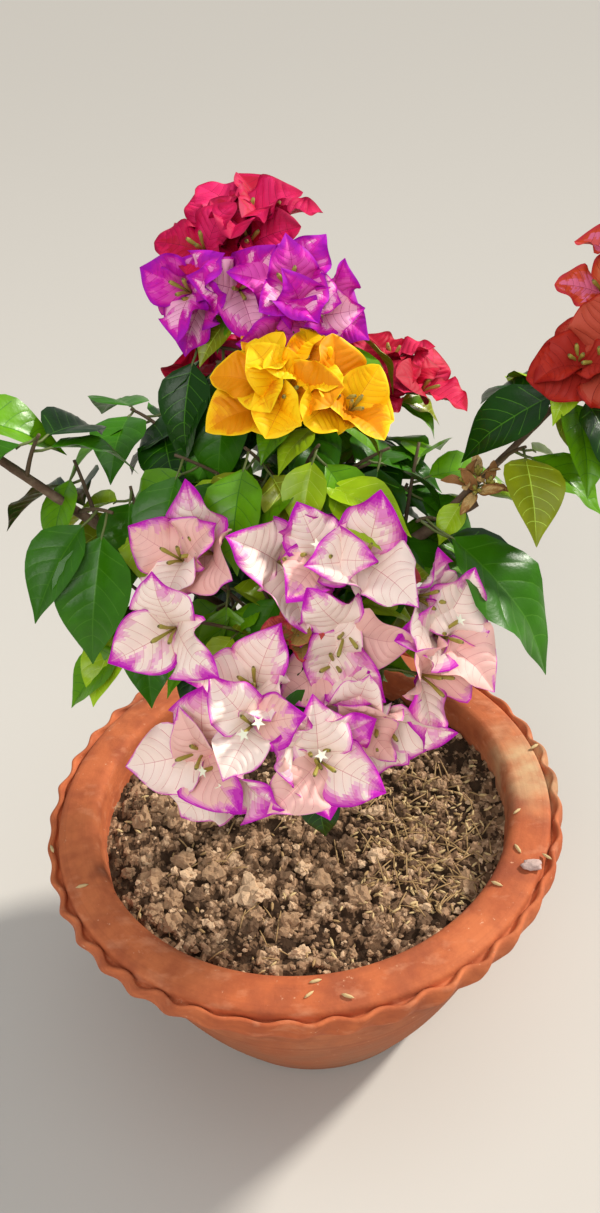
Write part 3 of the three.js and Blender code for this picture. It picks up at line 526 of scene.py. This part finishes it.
LEAF_OUTLINE = smooth([
    (0, 0.05), (0.06, 0.36), (0.16, 0.76), (0.28, 0.97), (0.4, 1), (0.55, 0.89), (0.7, 0.65), (0.82, 0.38),
    (0.91, 0.17), (1, 0.012),
])
BRACT_OUTLINE = smooth([
    (0, 0.1), (0.08, 0.42), (0.2, 0.79), (0.36, 1), (0.5, 0.98), (0.65, 0.82), (0.78, 0.56), (0.88, 0.3),
    (0.95, 0.13), (1, 0.012),
])
ROUND_OUTLINE = smooth([
    (0, 0.1), (0.08, 0.44), (0.2, 0.8), (0.36, 1), (0.52, 1), (0.67, 0.91), (0.8, 0.72), (0.89, 0.5),
    (0.95, 0.31), (1, 0.03),
])
TIP_ROWS = [0.8, 0.84, 0.88, 0.915, 0.945, 0.97, 0.987, 1.0]
LEAF_COLUMNS = (0.22, 0.45, 0.66, 0.84, 1)
BRACT_COLUMNS = (0.1, 0.22, 0.34, 0.46, 0.57, 0.67, 0.76, 0.84, 0.905, 0.96, 1)
VEINS, FIRST_VEIN, VEIN_REACH, VEIN_END = 6, 0.1, 0.66, 0.86


class Form:
    """Rows and columns of a blade whose side veins are thin strips of faces."""

    def __init__(self, outline, columns, lean, vein_width, midrib, fold, between=1):
        self.outline, self.lean, self.fold = outline, lean, fold
        rows, thin = [0.0], []
        for k in range(VEINS):
            t = FIRST_VEIN + VEIN_REACH * k / (VEINS - 1)
            previous = rows[-1]
            rows += [previous + (t - previous) * n / (between + 1) for n in range(1, between + 1)]
            rows += [t - vein_width, t + vein_width]
            thin.append(len(rows) - 2)
        self.t = np.array(rows + TIP_ROWS)
        half = np.array(columns)
        self.s = np.concatenate([-half[::-1], [-midrib, midrib], half])
        numbers = np.arange(len(self.t))
        self.in_vein = np.isin(numbers, thin) | np.isin(numbers - 1, thin)
        in_strip = np.isin(numbers[:-1], thin)
        width = len(self.s)
        self.faces = [
            (a, a + width, a + width + 1, a + 1)
            for i in range(len(self.t) - 1)
            for a in range(i * width, (i + 1) * width - 1)
        ]
        self.side, self.mid_t = np.meshgrid((self.s[1:] + self.s[:-1]) / 2, (self.t[1:] + self.t[:-1]) / 2)
        self.mid_s = np.abs(self.side)
        self.is_vein = (in_strip[:, None] & (self.mid_s < VEIN_END)) | (self.mid_s < midrib)


LEAF = Form(LEAF_OUTLINE, LEAF_COLUMNS, 0.5, 0.0034, 0.022, 0.3)
BRACT = Form(BRACT_OUTLINE, BRACT_COLUMNS, 0.62, 0.0026, 0.009, 0.2, between=2)
ROUND_BRACT = Form(ROUND_OUTLINE, BRACT_COLUMNS, 0.62, 0.0026, 0.009, 0.2, between=2)


def blade(mesh, form, root, along, face, length, breadth, look, kinds):
    """One leaf or bract. look has a value for each name of LEAF_LOOK. kinds(edge, t, veins, side) gives each
    face's material, where edge is the distance from the outline over the half breadth."""
    across = face.cross(along).normalized()
    s, t = form.s[None, :], form.t[:, None]
    ahead = t + form.lean * np.abs(s) ** 1.2 * np.sin(pi * t) * (1 - t) * 0.9
    ahead = np.minimum(ahead, form.t[-1])
    half = breadth / 2 * form.outline(ahead)
    side = s * half
    rise = length * np.interp(ahead, ARCH_AT, (*ARCH, -0.5 * look["drop"], -look["drop"]))
    rise = rise + np.abs(side) * (form.fold + look["cup"])
    waving = np.sin(CIRCLE * (look["waves"] * ahead + look["phase"] * np.sign(s)))
    rise = rise + look["wave"] * half * np.abs(s) ** 2.5 * waving
    rise = rise + look["puff"] * ~form.in_vein[:, None] * np.sin(pi * np.abs(s)) * half / 10
    rise = rise - look["curl"] * half * np.abs(s) ** 3
    side = side + look["sway"] * length * ahead**2
    spans = ((ahead * length, along), (side, across), (rise, face))
    points = np.array(root) + sum(span[..., None] * np.array(axis) for span, axis in spans)
    edge = (1 - form.mid_s) * form.outline(form.mid_t)
    mesh.add(points, form.faces, kinds(edge, form.mid_t, form.is_vein, form.side).reshape(-1))


def drawn(look, rng):
    return {name: least + span * rng() for name, (least, span) in look.items()}


def bract_look(rng, calm):
    look = drawn(BRACT_LOOK, rng)
    return {**look, "puff": BRACT_PUFF, "wave": look["wave"] * calm, "curl": look["curl"] * calm}


def leaf_kinds(shade):
    vein = PALE_VEIN if shade >= LIME else VEIN
    return lambda edge, t, veins, side: np.where(veins, vein, shade)


def bract_kinds(rng, spread):
    """The shades from edge to middle, with an uneven border that widens to the tip, and the veins."""
    mood = rng()
    blush = spread * (0.14 if mood < 0.25 else 0.5 + 0.6 * rng() if mood < 0.75 else 1.2 + rng())
    shift, lop, rosy = 20 * rng(), 0.9 * (rng() - 0.5), rng() < 0.35
    speckle = np.random.default_rng(int(rng() * 1e6))
    unevenness = np.vectorize(lambda t, side: noise((shift, t * 5, side * 2)), otypes=[float])

    def kinds(edge, t, veins, side):
        uneven = unevenness(t, side)
        reach = blush * (0.3 + 1.3 * t**2) * (1 + lop * np.sign(side)) * np.clip(1 + 1.5 * uneven, 0.2, 3)
        depth = edge * (0.8 + 0.4 * speckle.random(edge.shape))
        number = (depth[..., None] > np.array(RING_LIMITS) * reach[..., None]).sum(-1)
        if rosy:
            number = np.where(number > RINGS - 4, np.minimum(number + 4, RINGS + 2), number)
        return np.where(veins & (number > 1), RINGS, number)

    return kinds


def ring_shades(edge, within, middle, veins, other):
    """The shades of a bract's rings from its edge to its middle, of its veins, and of the other middle."""
    stops, places = np.array([edge, within, middle], float), np.linspace(0, 2, RINGS)
    rings = np.stack([np.interp(places, range(3), channel) for channel in stops.T], 1)
    return [*rings.tolist(), veins, [(a + b) / 2 for a, b in zip(within, other)], other]


# The plant


def grow_limbs():
    """Curves of the trunk and boughs with their radii."""
    trunk = Bow((*TRUNK_FOOT, SOIL_TOP - CUT_DEPTH), TRUNK_TOP, TRUNK_BOW)
    limbs = {"trunk": (trunk, (TRUNK_RADIUS, TRUNK_TIP_RADIUS))}
    for name, (parent, along, tip, bow, radii) in LIMBS.items():
        limbs[name] = (Bow(limbs[parent][0].at(along), tip, bow), radii)
    return limbs


def corners(node):
    """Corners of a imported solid, in millimetres."""
    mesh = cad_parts[node].data
    found = np.zeros(len(mesh.vertices) * 3)
    mesh.vertices.foreach_get("co", found)
    return found.reshape(-1, 3) / MM


def leaf_frame(node, numbers, index, rng):
    """The source's rule for a leaf: a function from the extra turn to root, along, face, length and tip."""
    _, size, heading, arc, hang, _ = numbers
    swing = ((index * TURN) / CIRCLE) % 1
    heading = radians(heading) + (swing - 0.5) * radians(arc) + (rng() - 0.5) * 0.4
    hang = radians(hang + (rng() - 0.5) * 24)
    roll = (rng() - 0.5) * 0.7
    length = size * (0.86 + 0.28 * rng())

    def place(turn):
        level = Vector((cos(heading + turn), sin(heading + turn), 0))
        along = level * cos(hang) - UP * sin(hang)
        above = (UP - along * UP.dot(along)).normalized()
        face = turned(above, along, roll)
        root = node + along * (length * 0.2) + above * (length * 0.06)
        return root, along, face, length, root + along * length - face * (LEAF_DROP * length)

    return place


def bloom_frame(tip, numbers, index, rng):
    """The source's rule for a bloom: a function from the extra turn to its heart, axis and length, the
    directions and faces of its bracts, and the first one's tip."""
    count, bract, facing, fan, spin, stalk = numbers
    facing = Vector(facing).normalized()
    side = facing.cross(UP).normalized()
    reach = stalk * (0.85 + 0.3 * rng())
    opened = radians(48 + 14 * rng())
    first = rng() * CIRCLE
    length = bract * (0.9 + 0.2 * rng())
    spin = radians(spin) + index / count * CIRCLE

    def place(turn):
        out = turned(turned(facing, side, radians(fan)), facing, spin + turn)
        heart = tip + out * reach
        axis = out.lerp(facing, BLOOM_NOD).normalized()
        outward = axis.cross(UP).normalized()
        bracts = []
        for k in range(3):
            radial = turned(outward, axis, first + (k + 0.5) / 3 * CIRCLE)
            along = axis * cos(opened) + radial * sin(opened)
            bracts.append((along, axis * sin(opened) - radial * cos(opened)))
        along, face = bracts[0]
        return heart, axis, length, bracts, heart + along * length - face * (BRACT_DROP * length)

    return place


def taken(place, known):
    """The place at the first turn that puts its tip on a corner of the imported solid, or None."""
    if known is None:
        return place(0)
    for turn in HEADINGS:
        made = place(turn)
        if np.abs(known - np.array(made[-1])).max(1).min() < SAME_PLACE:
            return made
    return None


def twig_piece():
    bark = material("twig_bark", srgb(92, 74, 52), 0.75, grain=(1.2, 0.15))
    green = material("twig_green", srgb(96, 108, 52), grain=(1.2, 0.08))
    return Gathered("twigs_and_stalks", "bark", [bark, green])


def tube_piece():
    side = material("flower_tube", srgb(158, 148, 60), grain=(0.8, 0.06))
    end = material("flower_tip", srgb(110, 100, 44))
    star = material("flower_star", srgb(240, 240, 214), 0.5)
    return Gathered("flower_tubes", "bract_yellow", [side, end, star])


def leaf_pieces():
    greens = []
    for name, shade in LEAF_SHADES.items():
        colour = srgb(*shade)
        greens.append(material(name, colour, 0.3, 0.26, (2.4, 0.12), ([c * 1.35 for c in colour], 17, 0.6)))
    return {
        "leaf": Gathered("leaves_grown", "leaf", greens),
        "young": Gathered("leaves_young", "leaf_young", greens),
    }


def bract_pieces():
    pieces = {}
    for kind, (_, *colours) in BLOSSOM.items():
        shades = [
            material(f"bract_{kind}_{k}", srgb(*shade), shine=0.2, grain=(1.6, 0.1))
            for k, shade in enumerate(ring_shades(*colours))
        ]
        pieces[kind] = Gathered(f"bracts_{kind}", BRACT_SLOTS.get(kind, f"bract_{kind}"), shades)
    return pieces


class Crown:
    """The crown's pieces, which its sprays fill. stands_for has the solids that each of them replaces."""

    def __init__(self):
        self.twigs, self.tubes = twig_piece(), tube_piece()
        self.blades = {**leaf_pieces(), **bract_pieces()}
        self.stands_for = {finish: [] for finish in self.blades}

    def leaf(self, node, place, rng, finish):
        """A leaf on its stalk, in one of the finish's shades."""
        root, along, face, length, _ = place
        pick = rng()
        for shade, odds in enumerate(LEAF_ODDS[finish]):
            pick -= odds
            if pick < 0:
                break
        look, breadth = drawn(LEAF_LOOK, rng), length * LEAF_BREADTH
        blade(self.blades[finish], LEAF, root, along, face, length, breadth, look, leaf_kinds(shade))
        knee = (node + root) / 2 - UP * (root - node).length * 0.06
        tube(self.twigs, [node, knee, root, root + along * 3 - face * 0.3], LEAF_STALK, GREEN, sides=6)

    def bloom(self, tip, place, rng, finish):
        """A bloom on its stalk: three bracts round three flower tubes."""
        heart, axis, length, bracts, _ = place
        form, calm = (BRACT, 1) if finish in POINTED else (ROUND_BRACT, ROUND_CALM)
        breadth = length * (DRY_BREADTH if finish == "dry" else BRACT_BREADTH)
        for along, face in bracts:
            look = bract_look(rng, calm)
            kinds = bract_kinds(rng, BLOSSOM[finish][0])
            blade(self.blades[finish], form, heart + along * 0.6, along, face, length, breadth, look, kinds)
        tube(self.twigs, [tip, (tip + heart) / 2 + UP * 0.8, heart], BLOOM_STALK, GREEN, sides=6)
        for along, face in bracts:
            lean = (axis * 0.93 + (along - axis * along.dot(axis)) * 0.38).normalized()
            has_star = rng() < (STAR_SHARE if finish == "pink" else 0)
            reach = lean * (length * TUBE_SHARE)
            top = heart + reach
            path = [heart, heart + reach * 0.5 + face * 0.6, top - lean * 2, top]
            tube(self.tubes, path, FLOWER_TUBE, 0, end_kind=TUBE_END)
            if has_star:
                self.star(top, lean)

    def star(self, top, lean):
        """An open flower of five points on a tube's end."""
        side = lean.cross(UP).normalized()
        points = [top + lean * 0.2]
        for i in range(10):
            rise, spread = STAR_NOTCH if i % 2 else STAR_TIP
            points.append(top + lean * rise + turned(side, lean, i * pi / 5) * spread)
        self.tubes.add(points, [(0, 1 + i, 1 + (i + 1) % 10) for i in range(10)], STAR)

    def spray(self, limb, share, tip, seed, finish, *numbers, name=None):
        """A stem with leaves, or with blooms above a collar of young leaves. name is that of its solid."""
        start, tip = limb.at(share), Vector(tip)
        stem = Bow(start, tip, UP * ((tip - start).length * STEM_BOW))
        shares = [i / STEM_STEPS for i in range(STEM_STEPS + 1)]
        radii = [TWIG_RADIUS + (STALK_RADIUS - TWIG_RADIUS) * s for s in shares]
        tube(self.twigs, [stem.at(s) for s in shares], radii, BARK)
        rng, looks = seeded(seed), seeded(seed * 31 + 7)
        known, away, leafy = None, OPEN.get(name, ()), finish in LEAF_ODDS
        if name:
            known = corners(name)
            self.stands_for[finish].append(name)
        count, bare = numbers[0], numbers[-1]
        for i in range(count):
            if leafy:
                node, rule, add = stem.at(bare + (1 - bare) * (i + 0.5) / count), leaf_frame, self.leaf
            else:
                node, rule, add = tip, bloom_frame, self.bloom
            place = taken(rule(node, numbers, i, rng), known)
            if place and i not in away:
                add(node, place, looks, finish)
        for i in range(0 if leafy else COLLAR[0]):
            node = stem.at(COLLAR_FROM + COLLAR_STEP * i)
            self.leaf(node, leaf_frame(node, COLLAR, i, looks)(0), looks, "young")

    def finish(self):
        for finish, piece in self.blades.items():
            piece.finish(*self.stands_for[finish])
        self.tubes.finish()
        self.twigs.finish()


def build_crown(limbs):
    crown = Crown()
    for name, (limb, *rest) in SPRAYS.items():
        crown.spray(limbs[limb][0], *rest, name=name)
    for limb, sprays in FINER.items():
        for rest in sprays:
            crown.spray(limbs[limb][0], *rest)
    crown.finish()


def bark_relief(radii, step_length, number):
    """What ridges, fine bark and joints add to the radius at a step and an angle."""

    def rough(step, angle):
        reach = step * step_length
        ridge = noise((cos(angle) * 1.6 + number * 7, sin(angle) * 1.6, reach * 0.05))
        fine = noise((cos(angle) * 4 + number, sin(angle) * 4, reach * 0.35))
        joint = exp(-(((reach % 26) - 13) ** 2) / 6)
        return radii[step] * (0.09 * ridge + 0.05 * fine + 0.07 * joint)

    return rough


def build_limbs(limbs):
    bark = material("bark_brown", srgb(104, 80, 62), 0.85, 0.5, (1.6, 0.5), (srgb(138, 118, 96), 9, 0.5))
    cut = material("cut_wood", srgb(206, 180, 140), 0.8, grain=(0.8, 0.1))
    mesh = Gathered("trunk_and_boughs", "bark", [bark, cut])
    for number, (name, (curve, (first, last))) in enumerate(limbs.items()):
        length = curve.sums[-1]
        steps = max(12, int(length / 1.8))
        shares = [i / steps for i in range(steps + 1)]
        radii = [first + (last - first) * s for s in shares]
        if name == "trunk":
            radii = [r + ROOT_FLARE * exp(-s * 14) for r, s in zip(radii, shares)]
        relief = bark_relief(radii, length / steps, number)
        sides, end = 28 if name == "trunk" else 16, CUT_WOOD if name == "bough_right" else BARK
        tube(mesh, [curve.at(s) for s in shares], radii, BARK, sides, end, relief)
    mesh.finish(*limbs)


# The pot and its soil


def bowl(foot, low, mouth, high):
    """The radius of the wall's inside or outside at a height, from foot at low to mouth at high."""
    return smooth([(low, foot), *((height, mouth - inset) for height, inset in BOWL_BENDS), (high, mouth)])


def pot_profile():
    """Radius and height round the wall, from the middle of its underside to the middle of its floor, and how
    strongly each point follows the lip's waves."""
    inner, top = RIM_RADIUS - FLANGE_WIDTH, POT_HEIGHT
    neck = inner + WALL
    under = top - LIP_HEIGHT
    outside = bowl(FOOT_RADIUS + 3, 0, neck, under - 4)
    inside = bowl(FOOT_RADIUS - WALL, FLOOR, inner, top - 5)
    flange, crest = np.linspace(RIM_RADIUS - 14, inner + 5, 8), FLANGE_WIDTH - 12
    rows = [(FOOT_RADIUS + out, z, 0) for out, z in FOOT_PROFILE]
    rows += [(float(outside(z)), z, 0) for z in np.linspace(4, under - 5, 40)]
    rows += [(neck + 5, under - 2.5, 0), (neck + 11, under - 1.5, 0.2)]
    rows += [(RIM_RADIUS - r, top - z, follow) for r, z, follow in LIP_PROFILE]
    rows += [(r, top + 0.1 + 0.8 * sin(pi * (r - inner) / crest), 0) for r in flange]
    rows += [(inner + 2.4, top - 0.9, 0), (inner + 0.8, top - 2.4, 0), (inner, top - 5, 0)]
    rows += [(float(inside(z)), z, 0) for z in np.linspace(top - 8, FLOOR + 2, 16)]
    rows += [(FOOT_RADIUS - WALL - 3, FLOOR, 0), (0, FLOOR, 0)]
    return rows


def build_pot():
    """The wall turned round, with the crimped strip's waves slanted and pressed unevenly, as by a thumb."""
    mesh = Gathered("clay_pot", "terracotta", [clay_material()])
    sectors = LIP_WAVES * SECTORS_PER_WAVE
    theta = np.arange(sectors) * CIRCLE / sectors
    phase = LIP_WAVES * theta + 0.5 * np.sin(3 * theta)
    strength = 1 + 0.3 * np.sin(5 * theta + 1) + 0.2 * np.sin(11 * theta)
    rings = []
    for radius, height, follow in pot_profile():
        slant = phase + LIP_SLANT * (POT_HEIGHT - height)
        wobble = 0.35 * np.sin(2 * theta + 0.4) * min(1, radius / 60)
        r = np.maximum(radius + follow * LIP_PRESS * np.cos(slant) * strength + wobble, 0.0)
        z = height + follow * LIP_LIFT * np.sin(slant) * strength
        rings.append(np.stack([r * np.cos(theta), r * np.sin(theta), z], 1))
    first, *rings, last = rings
    mesh.add(np.vstack([*rings, first.mean(0), last.mean(0)]), closed_faces(len(rings), sectors), 0)
    mesh.finish("pot")


def clods_at(x, y, size, seed):
    """Rounded clods of about this size: height from 0 in the cracks to 1 on top, and how far a crack is."""
    warp = size * 0.5
    wx = x + warp * noise((x / size, y / size, seed + 0.5))
    wy = y + warp * noise((x / size, y / size, seed + 7.5))
    distances, points = voronoi((wx / size, wy / size, seed))
    tall = 0.35 + 0.65 * cell(points[0] * 3.7)
    edge = min(1, (distances[1] - distances[0]) * 2.2)
    return tall * sqrt(1 - (1 - edge) ** 2), edge


def soil_surface(x, y):
    """Height of the soil and its painted shade: clods in three sizes, level round the trunk's foot."""
    broad = fractal((x / 60, y / 60, 0.3), 0.9, 2.1, 3)
    patch = 0.5 + 0.5 * noise((x / 38, y / 38, 3.1))
    large, large_edge = clods_at(x, y, LARGE_CLOD[0], 1.5)
    middle, _ = clods_at(x, y, MIDDLE_CLOD[0], 4.5)
    small, _ = clods_at(x, y, SMALL_CLOD[0], 8.5)
    crumbs = fractal((x / 2.2, y / 2.2, 2), 0.7, 2.2, 2)
    rise = SWELL_HEIGHT * broad + CRUMB_HEIGHT * crumbs + LARGE_CLOD[1] * patch * (large - CLOD_MIDDLE)
    rise += MIDDLE_CLOD[1] * (middle - CLOD_MIDDLE) + SMALL_CLOD[1] * (small - CLOD_MIDDLE)
    ease = min(1, max(0.3, (from_trunk(x, y) - 10) / 30))
    # Painted light and shade: lighter on the clods' tops, darker in the cracks, with some random tone
    light = 0.5 * large_edge * patch + 0.35 * middle + 0.25 * small + 0.25 * noise((x / 11, y / 11, 6))
    return SOIL_TOP - 1 + rise * ease, light


def from_trunk(x, y):
    return hypot(x - TRUNK_FOOT[0], y - TRUNK_FOOT[1])


def on_soil(x, y, above):
    return Vector((x, y, soil_surface(x, y)[0] + above))


def soil_shades():
    """The soil's materials, from painted shade in the cracks to painted light on the tops of the clods."""
    made = []
    for k, shade in enumerate(SOIL_COLOURS):
        mottle = (srgb(*[c * 0.72 for c in shade]), 5, 0.6)
        made.append(material(f"soil_{k}", srgb(*shade), 0.95, 0.15, (1.6, 0.9), mottle))
    return made


def build_soil():
    """The soil's surface in rings, finer towards the wall, closed by its side and its flat underside."""
    mesh = Gathered("potting_soil", "soil", soil_shades())
    points, lights = [(0, 0, soil_surface(0, 0)[0])], [0.4]
    for radius in SOIL_RADIUS * np.linspace(0, 1, SOIL_RINGS + 1)[1:] ** 0.75:
        for x, y in circle(radius, SOIL_SECTORS):
            height, light = soil_surface(x, y)
            points.append((x, y, height))
            lights.append(light)
    for radius, height in ((SOIL_RADIUS - 2, SOIL_TOP - 9), (FOOT_RADIUS - WALL, FLOOR + 1)):
        points += [(x, y, height) for x, y in circle(radius, SOIL_SECTORS)]
        lights += [0] * SOIL_SECTORS
    faces = [(0, 1 + k, 1 + (k + 1) % SOIL_SECTORS) for k in range(SOIL_SECTORS)]
    faces += [(a, d, c, b) for a, b, c, d in ring_faces(SOIL_RINGS + 2, SOIL_SECTORS, 1)]
    faces.append(tuple(reversed(range(len(points) - SOIL_SECTORS, len(points)))))
    # Each face's soil colour follows its painted light; the side and underside take the darkest painted shade
    mesh.add(points, faces, [sum(lights[face[0]] > limit for limit in PAINTED_SHADE_LIMITS) for face in faces])
    mesh.finish("soil")


def split_ball(points, faces):
    """The same ball with each face split in four."""
    points, middle, made = list(points), {}, []

    def between(a, b):
        key = (min(a, b), max(a, b))
        if key not in middle:
            middle[key] = len(points)
            points.append(((points[a] + points[b]) / 2).normalized())
        return middle[key]

    for a, b, c in faces:
        ab, bc, ca = between(a, b), between(b, c), between(c, a)
        made += [(a, ab, ca), (b, bc, ab), (c, ca, bc), (ab, bc, ca)]
    return points, made


def balls():
    """Corners and faces of a ball of 80 faces and of one of 320, split from one of 20."""
    gold, points, faces = (1 + 5**0.5) / 2, [], []
    for a in (-1, 1):
        for b in (-gold, gold):
            points += [Vector(p).normalized() for p in ((a, b, 0), (0, a, b), (b, 0, a))]
    for a, b, c in combinations(range(12), 3):
        p, q, r = points[a], points[b], points[c]
        if max((p - q).length, (q - r).length, (r - p).length) < 1.1:
            faces.append((a, b, c) if p.cross(q).dot(r) > 0 else (a, c, b))
    small = split_ball(points, faces)
    return small, split_ball(*small)


def litter_shades():
    """Materials of brown, pale and dark clods, of husks and straw, and of the crumb on the rim."""
    clods = ("brown", (164, 132, 102), 0.8), ("pale", (206, 174, 140), 0.7), ("dark", (108, 84, 64), 0.8)
    return [
        *(material(f"clod_{name}", srgb(*shade), 0.95, 0.15, (1.6, depth)) for name, shade, depth in clods),
        material("husk", srgb(206, 178, 126), 0.75, grain=(0.8, 0.1)),
        material("straw", srgb(168, 136, 90), 0.8, grain=(0.8, 0.1)),
        material("crumb_rose", srgb(196, 168, 158), 0.9, grain=(1.2, 0.5)),
    ]


def spot(rng, margin):
    """A place on the soil, clear of the trunk's foot."""
    radius, angle = (SOIL_RADIUS - margin) * sqrt(rng()), CIRCLE * rng()
    x, y = radius * cos(angle), radius * sin(angle)
    return (x, y) if from_trunk(x, y) > 16 else (x, y - 34)


def heap(rng, x, y, width):
    return x + width * (rng() - 0.5), y + HEAP_DEPTH * (rng() - 0.5)


def clod(mesh, rng, ball, x, y, size, kind, sunk):
    """An uneven ball, partly sunk into the soil."""
    points, faces = ball
    shift = Vector((rng() * 40, rng() * 40, rng() * 40))
    shape = Matrix.Diagonal((0.8 + 0.4 * rng(), 0.8 + 0.4 * rng(), 0.6 + 0.3 * rng()))
    bumps = [1 + 0.7 * noise(p * 1.2 + shift) + 0.5 * noise(p * 2.8 + shift) for p in points]
    centre = on_soil(x, y, size * (0.5 - sunk))
    mesh.add([centre + shape @ p * size * bump for p, bump in zip(points, bumps)], faces, kind)


def build_clods(rng, shades, small, large):
    clods = Gathered("soil_clods", "soil", shades)
    for (count, margin, least, span, sunk), ball in zip(LOOSE_CLODS, (large, small)):
        for _ in range(count):
            place, size = spot(rng, margin), least + span * rng() ** 2
            clod(clods, rng, ball, *place, size, (0, 0, 1, 2)[int(rng() * 4)], sunk)
    for single in SINGLE_CLODS:
        clod(clods, rng, large, *single)
    clods.finish(smooth=False)


def husk(mesh, centre, heading, tilt, length, kind=HUSK):
    level = Vector((cos(heading), sin(heading), 0)) * cos(tilt)
    along = (level + UP * sin(tilt)) * length
    path = [centre + along * share for share in (-0.5, -0.2, 0.25, 0.5)]
    tube(mesh, path, [0.15, length * 0.15, length * 0.13, 0.12], kind, sides=6)


def add_husks(chaff, rng):
    for i in range(HUSKS):
        x, y = spot(rng, 4) if i % 5 < 2 else heap(rng, *HUSK_HEAP)
        if hypot(x, y) < SOIL_RADIUS - 4:
            heading, tilt, length = rng() * 6.3, (rng() - 0.5) * 0.9, 4.5 + 2.6 * rng()
            husk(chaff, on_soil(x, y, 0.7), heading, tilt, length, HUSK if rng() < 0.55 else STRAW)


def add_straws(chaff, rng):
    for i in range(STRAWS):
        x, y = spot(rng, 10) if i % 3 == 0 else heap(rng, *STRAW_HEAP)
        heading, length = rng() * 6.3, 7 + 17 * rng()
        start = on_soil(x, y, 1.2)
        end = start + Vector((cos(heading), sin(heading), 0.3 * (rng() - 0.5))) * length
        if hypot(x, y) < SOIL_RADIUS - 4 and hypot(end.x, end.y) < SOIL_RADIUS - 3:
            end.z = max(end.z, on_soil(end.x, end.y, 0.6).z)
            tube(chaff, [start, (start + end) / 2 + UP, end], [0.4, 0.5, 0.3], STRAW, sides=5)


def build_litter():
    """Clods, husks and bits of straw on the soil, and husks and a crumb on the rim."""
    rng, shades, (small, large) = seeded(4711), litter_shades(), balls()
    build_clods(rng, shades, small, large)
    chaff = Gathered("husks_and_straw", "soil", shades)
    add_husks(chaff, rng)
    add_straws(chaff, rng)
    for x, y in RIM_HUSKS:
        husk(chaff, Vector((x, y, POT_HEIGHT + 1.4)), rng() * 6.3, 0.02, 6.5 + 1.5 * rng())
    centre, shape = Vector((*RIM_CRUMB, POT_HEIGHT + 2)), Matrix.Diagonal(CRUMB_SIZE)
    points, faces = large
    chaff.add([centre + shape @ p * (1 + 0.5 * noise(p * 1.7)) for p in points], faces, CRUMB)
    chaff.finish()


# Camera and studio


def add_camera():
    data = bpy.data.cameras.new("camera")
    data.sensor_fit, data.sensor_height = "VERTICAL", SENSOR
    data.lens = FOCAL_PIXELS * SENSOR / PICTURE_HEIGHT
    data.clip_start, data.clip_end = 0.01, 100
    camera = linked("camera", data)
    pitch = Matrix.Rotation(radians(90 - CAMERA_PITCH), 4, "X")
    turn = pitch @ Matrix.Rotation(radians(CAMERA_ROLL), 4, "Z")
    camera.matrix_world = Matrix.Translation(Vector(CAMERA_AT) * MM) @ turn
    bpy.context.scene.camera = camera


def add_floor():
    mesh, far = bpy.data.meshes.new("floor"), FLOOR_REACH
    mesh.from_pydata([(-far, -far, 0), (far, -far, 0), (far, far, 0), (-far, far, 0)], [], [(0, 1, 2, 3)])
    mesh.materials.append(material("floor_pale", srgb(196, 192, 184), 0.9, 0.2))
    floor = linked("floor", mesh)
    floor.location.z = -FLOOR_DROP


def add_light(name, kind, power, colour, side):
    """A light that shines from this side."""
    data = bpy.data.lights.new(name, kind)
    data.energy, data.color = power, colour
    lamp = linked(name, data)
    lamp.rotation_euler = side.to_track_quat("Z", "Y").to_euler()
    return lamp


def add_studio():
    add_floor()
    add_light("key", "SUN", SUN_POWER, SUN_COLOUR, Vector(SUN_FROM)).data.angle = SUN_WIDTH
    for name, (place, size, power, colour) in LAMPS.items():
        lamp = add_light(name, "AREA", power, colour, Vector(place) - Vector(LIT_POINT))
        lamp.location, lamp.data.size = place, size
    world = bpy.data.worlds.new("studio")
    world.use_nodes = True
    sky = world.node_tree.nodes["Background"].inputs
    sky["Color"].default_value, sky["Strength"].default_value = SKY_COLOUR, SKY_POWER
    bpy.context.scene.world = world
    bpy.context.scene.view_settings.view_transform = "Standard"


add_camera()
add_studio()
plant_limbs = grow_limbs()
build_pot()
build_soil()
build_litter()
build_limbs(plant_limbs)
build_crown(plant_limbs)
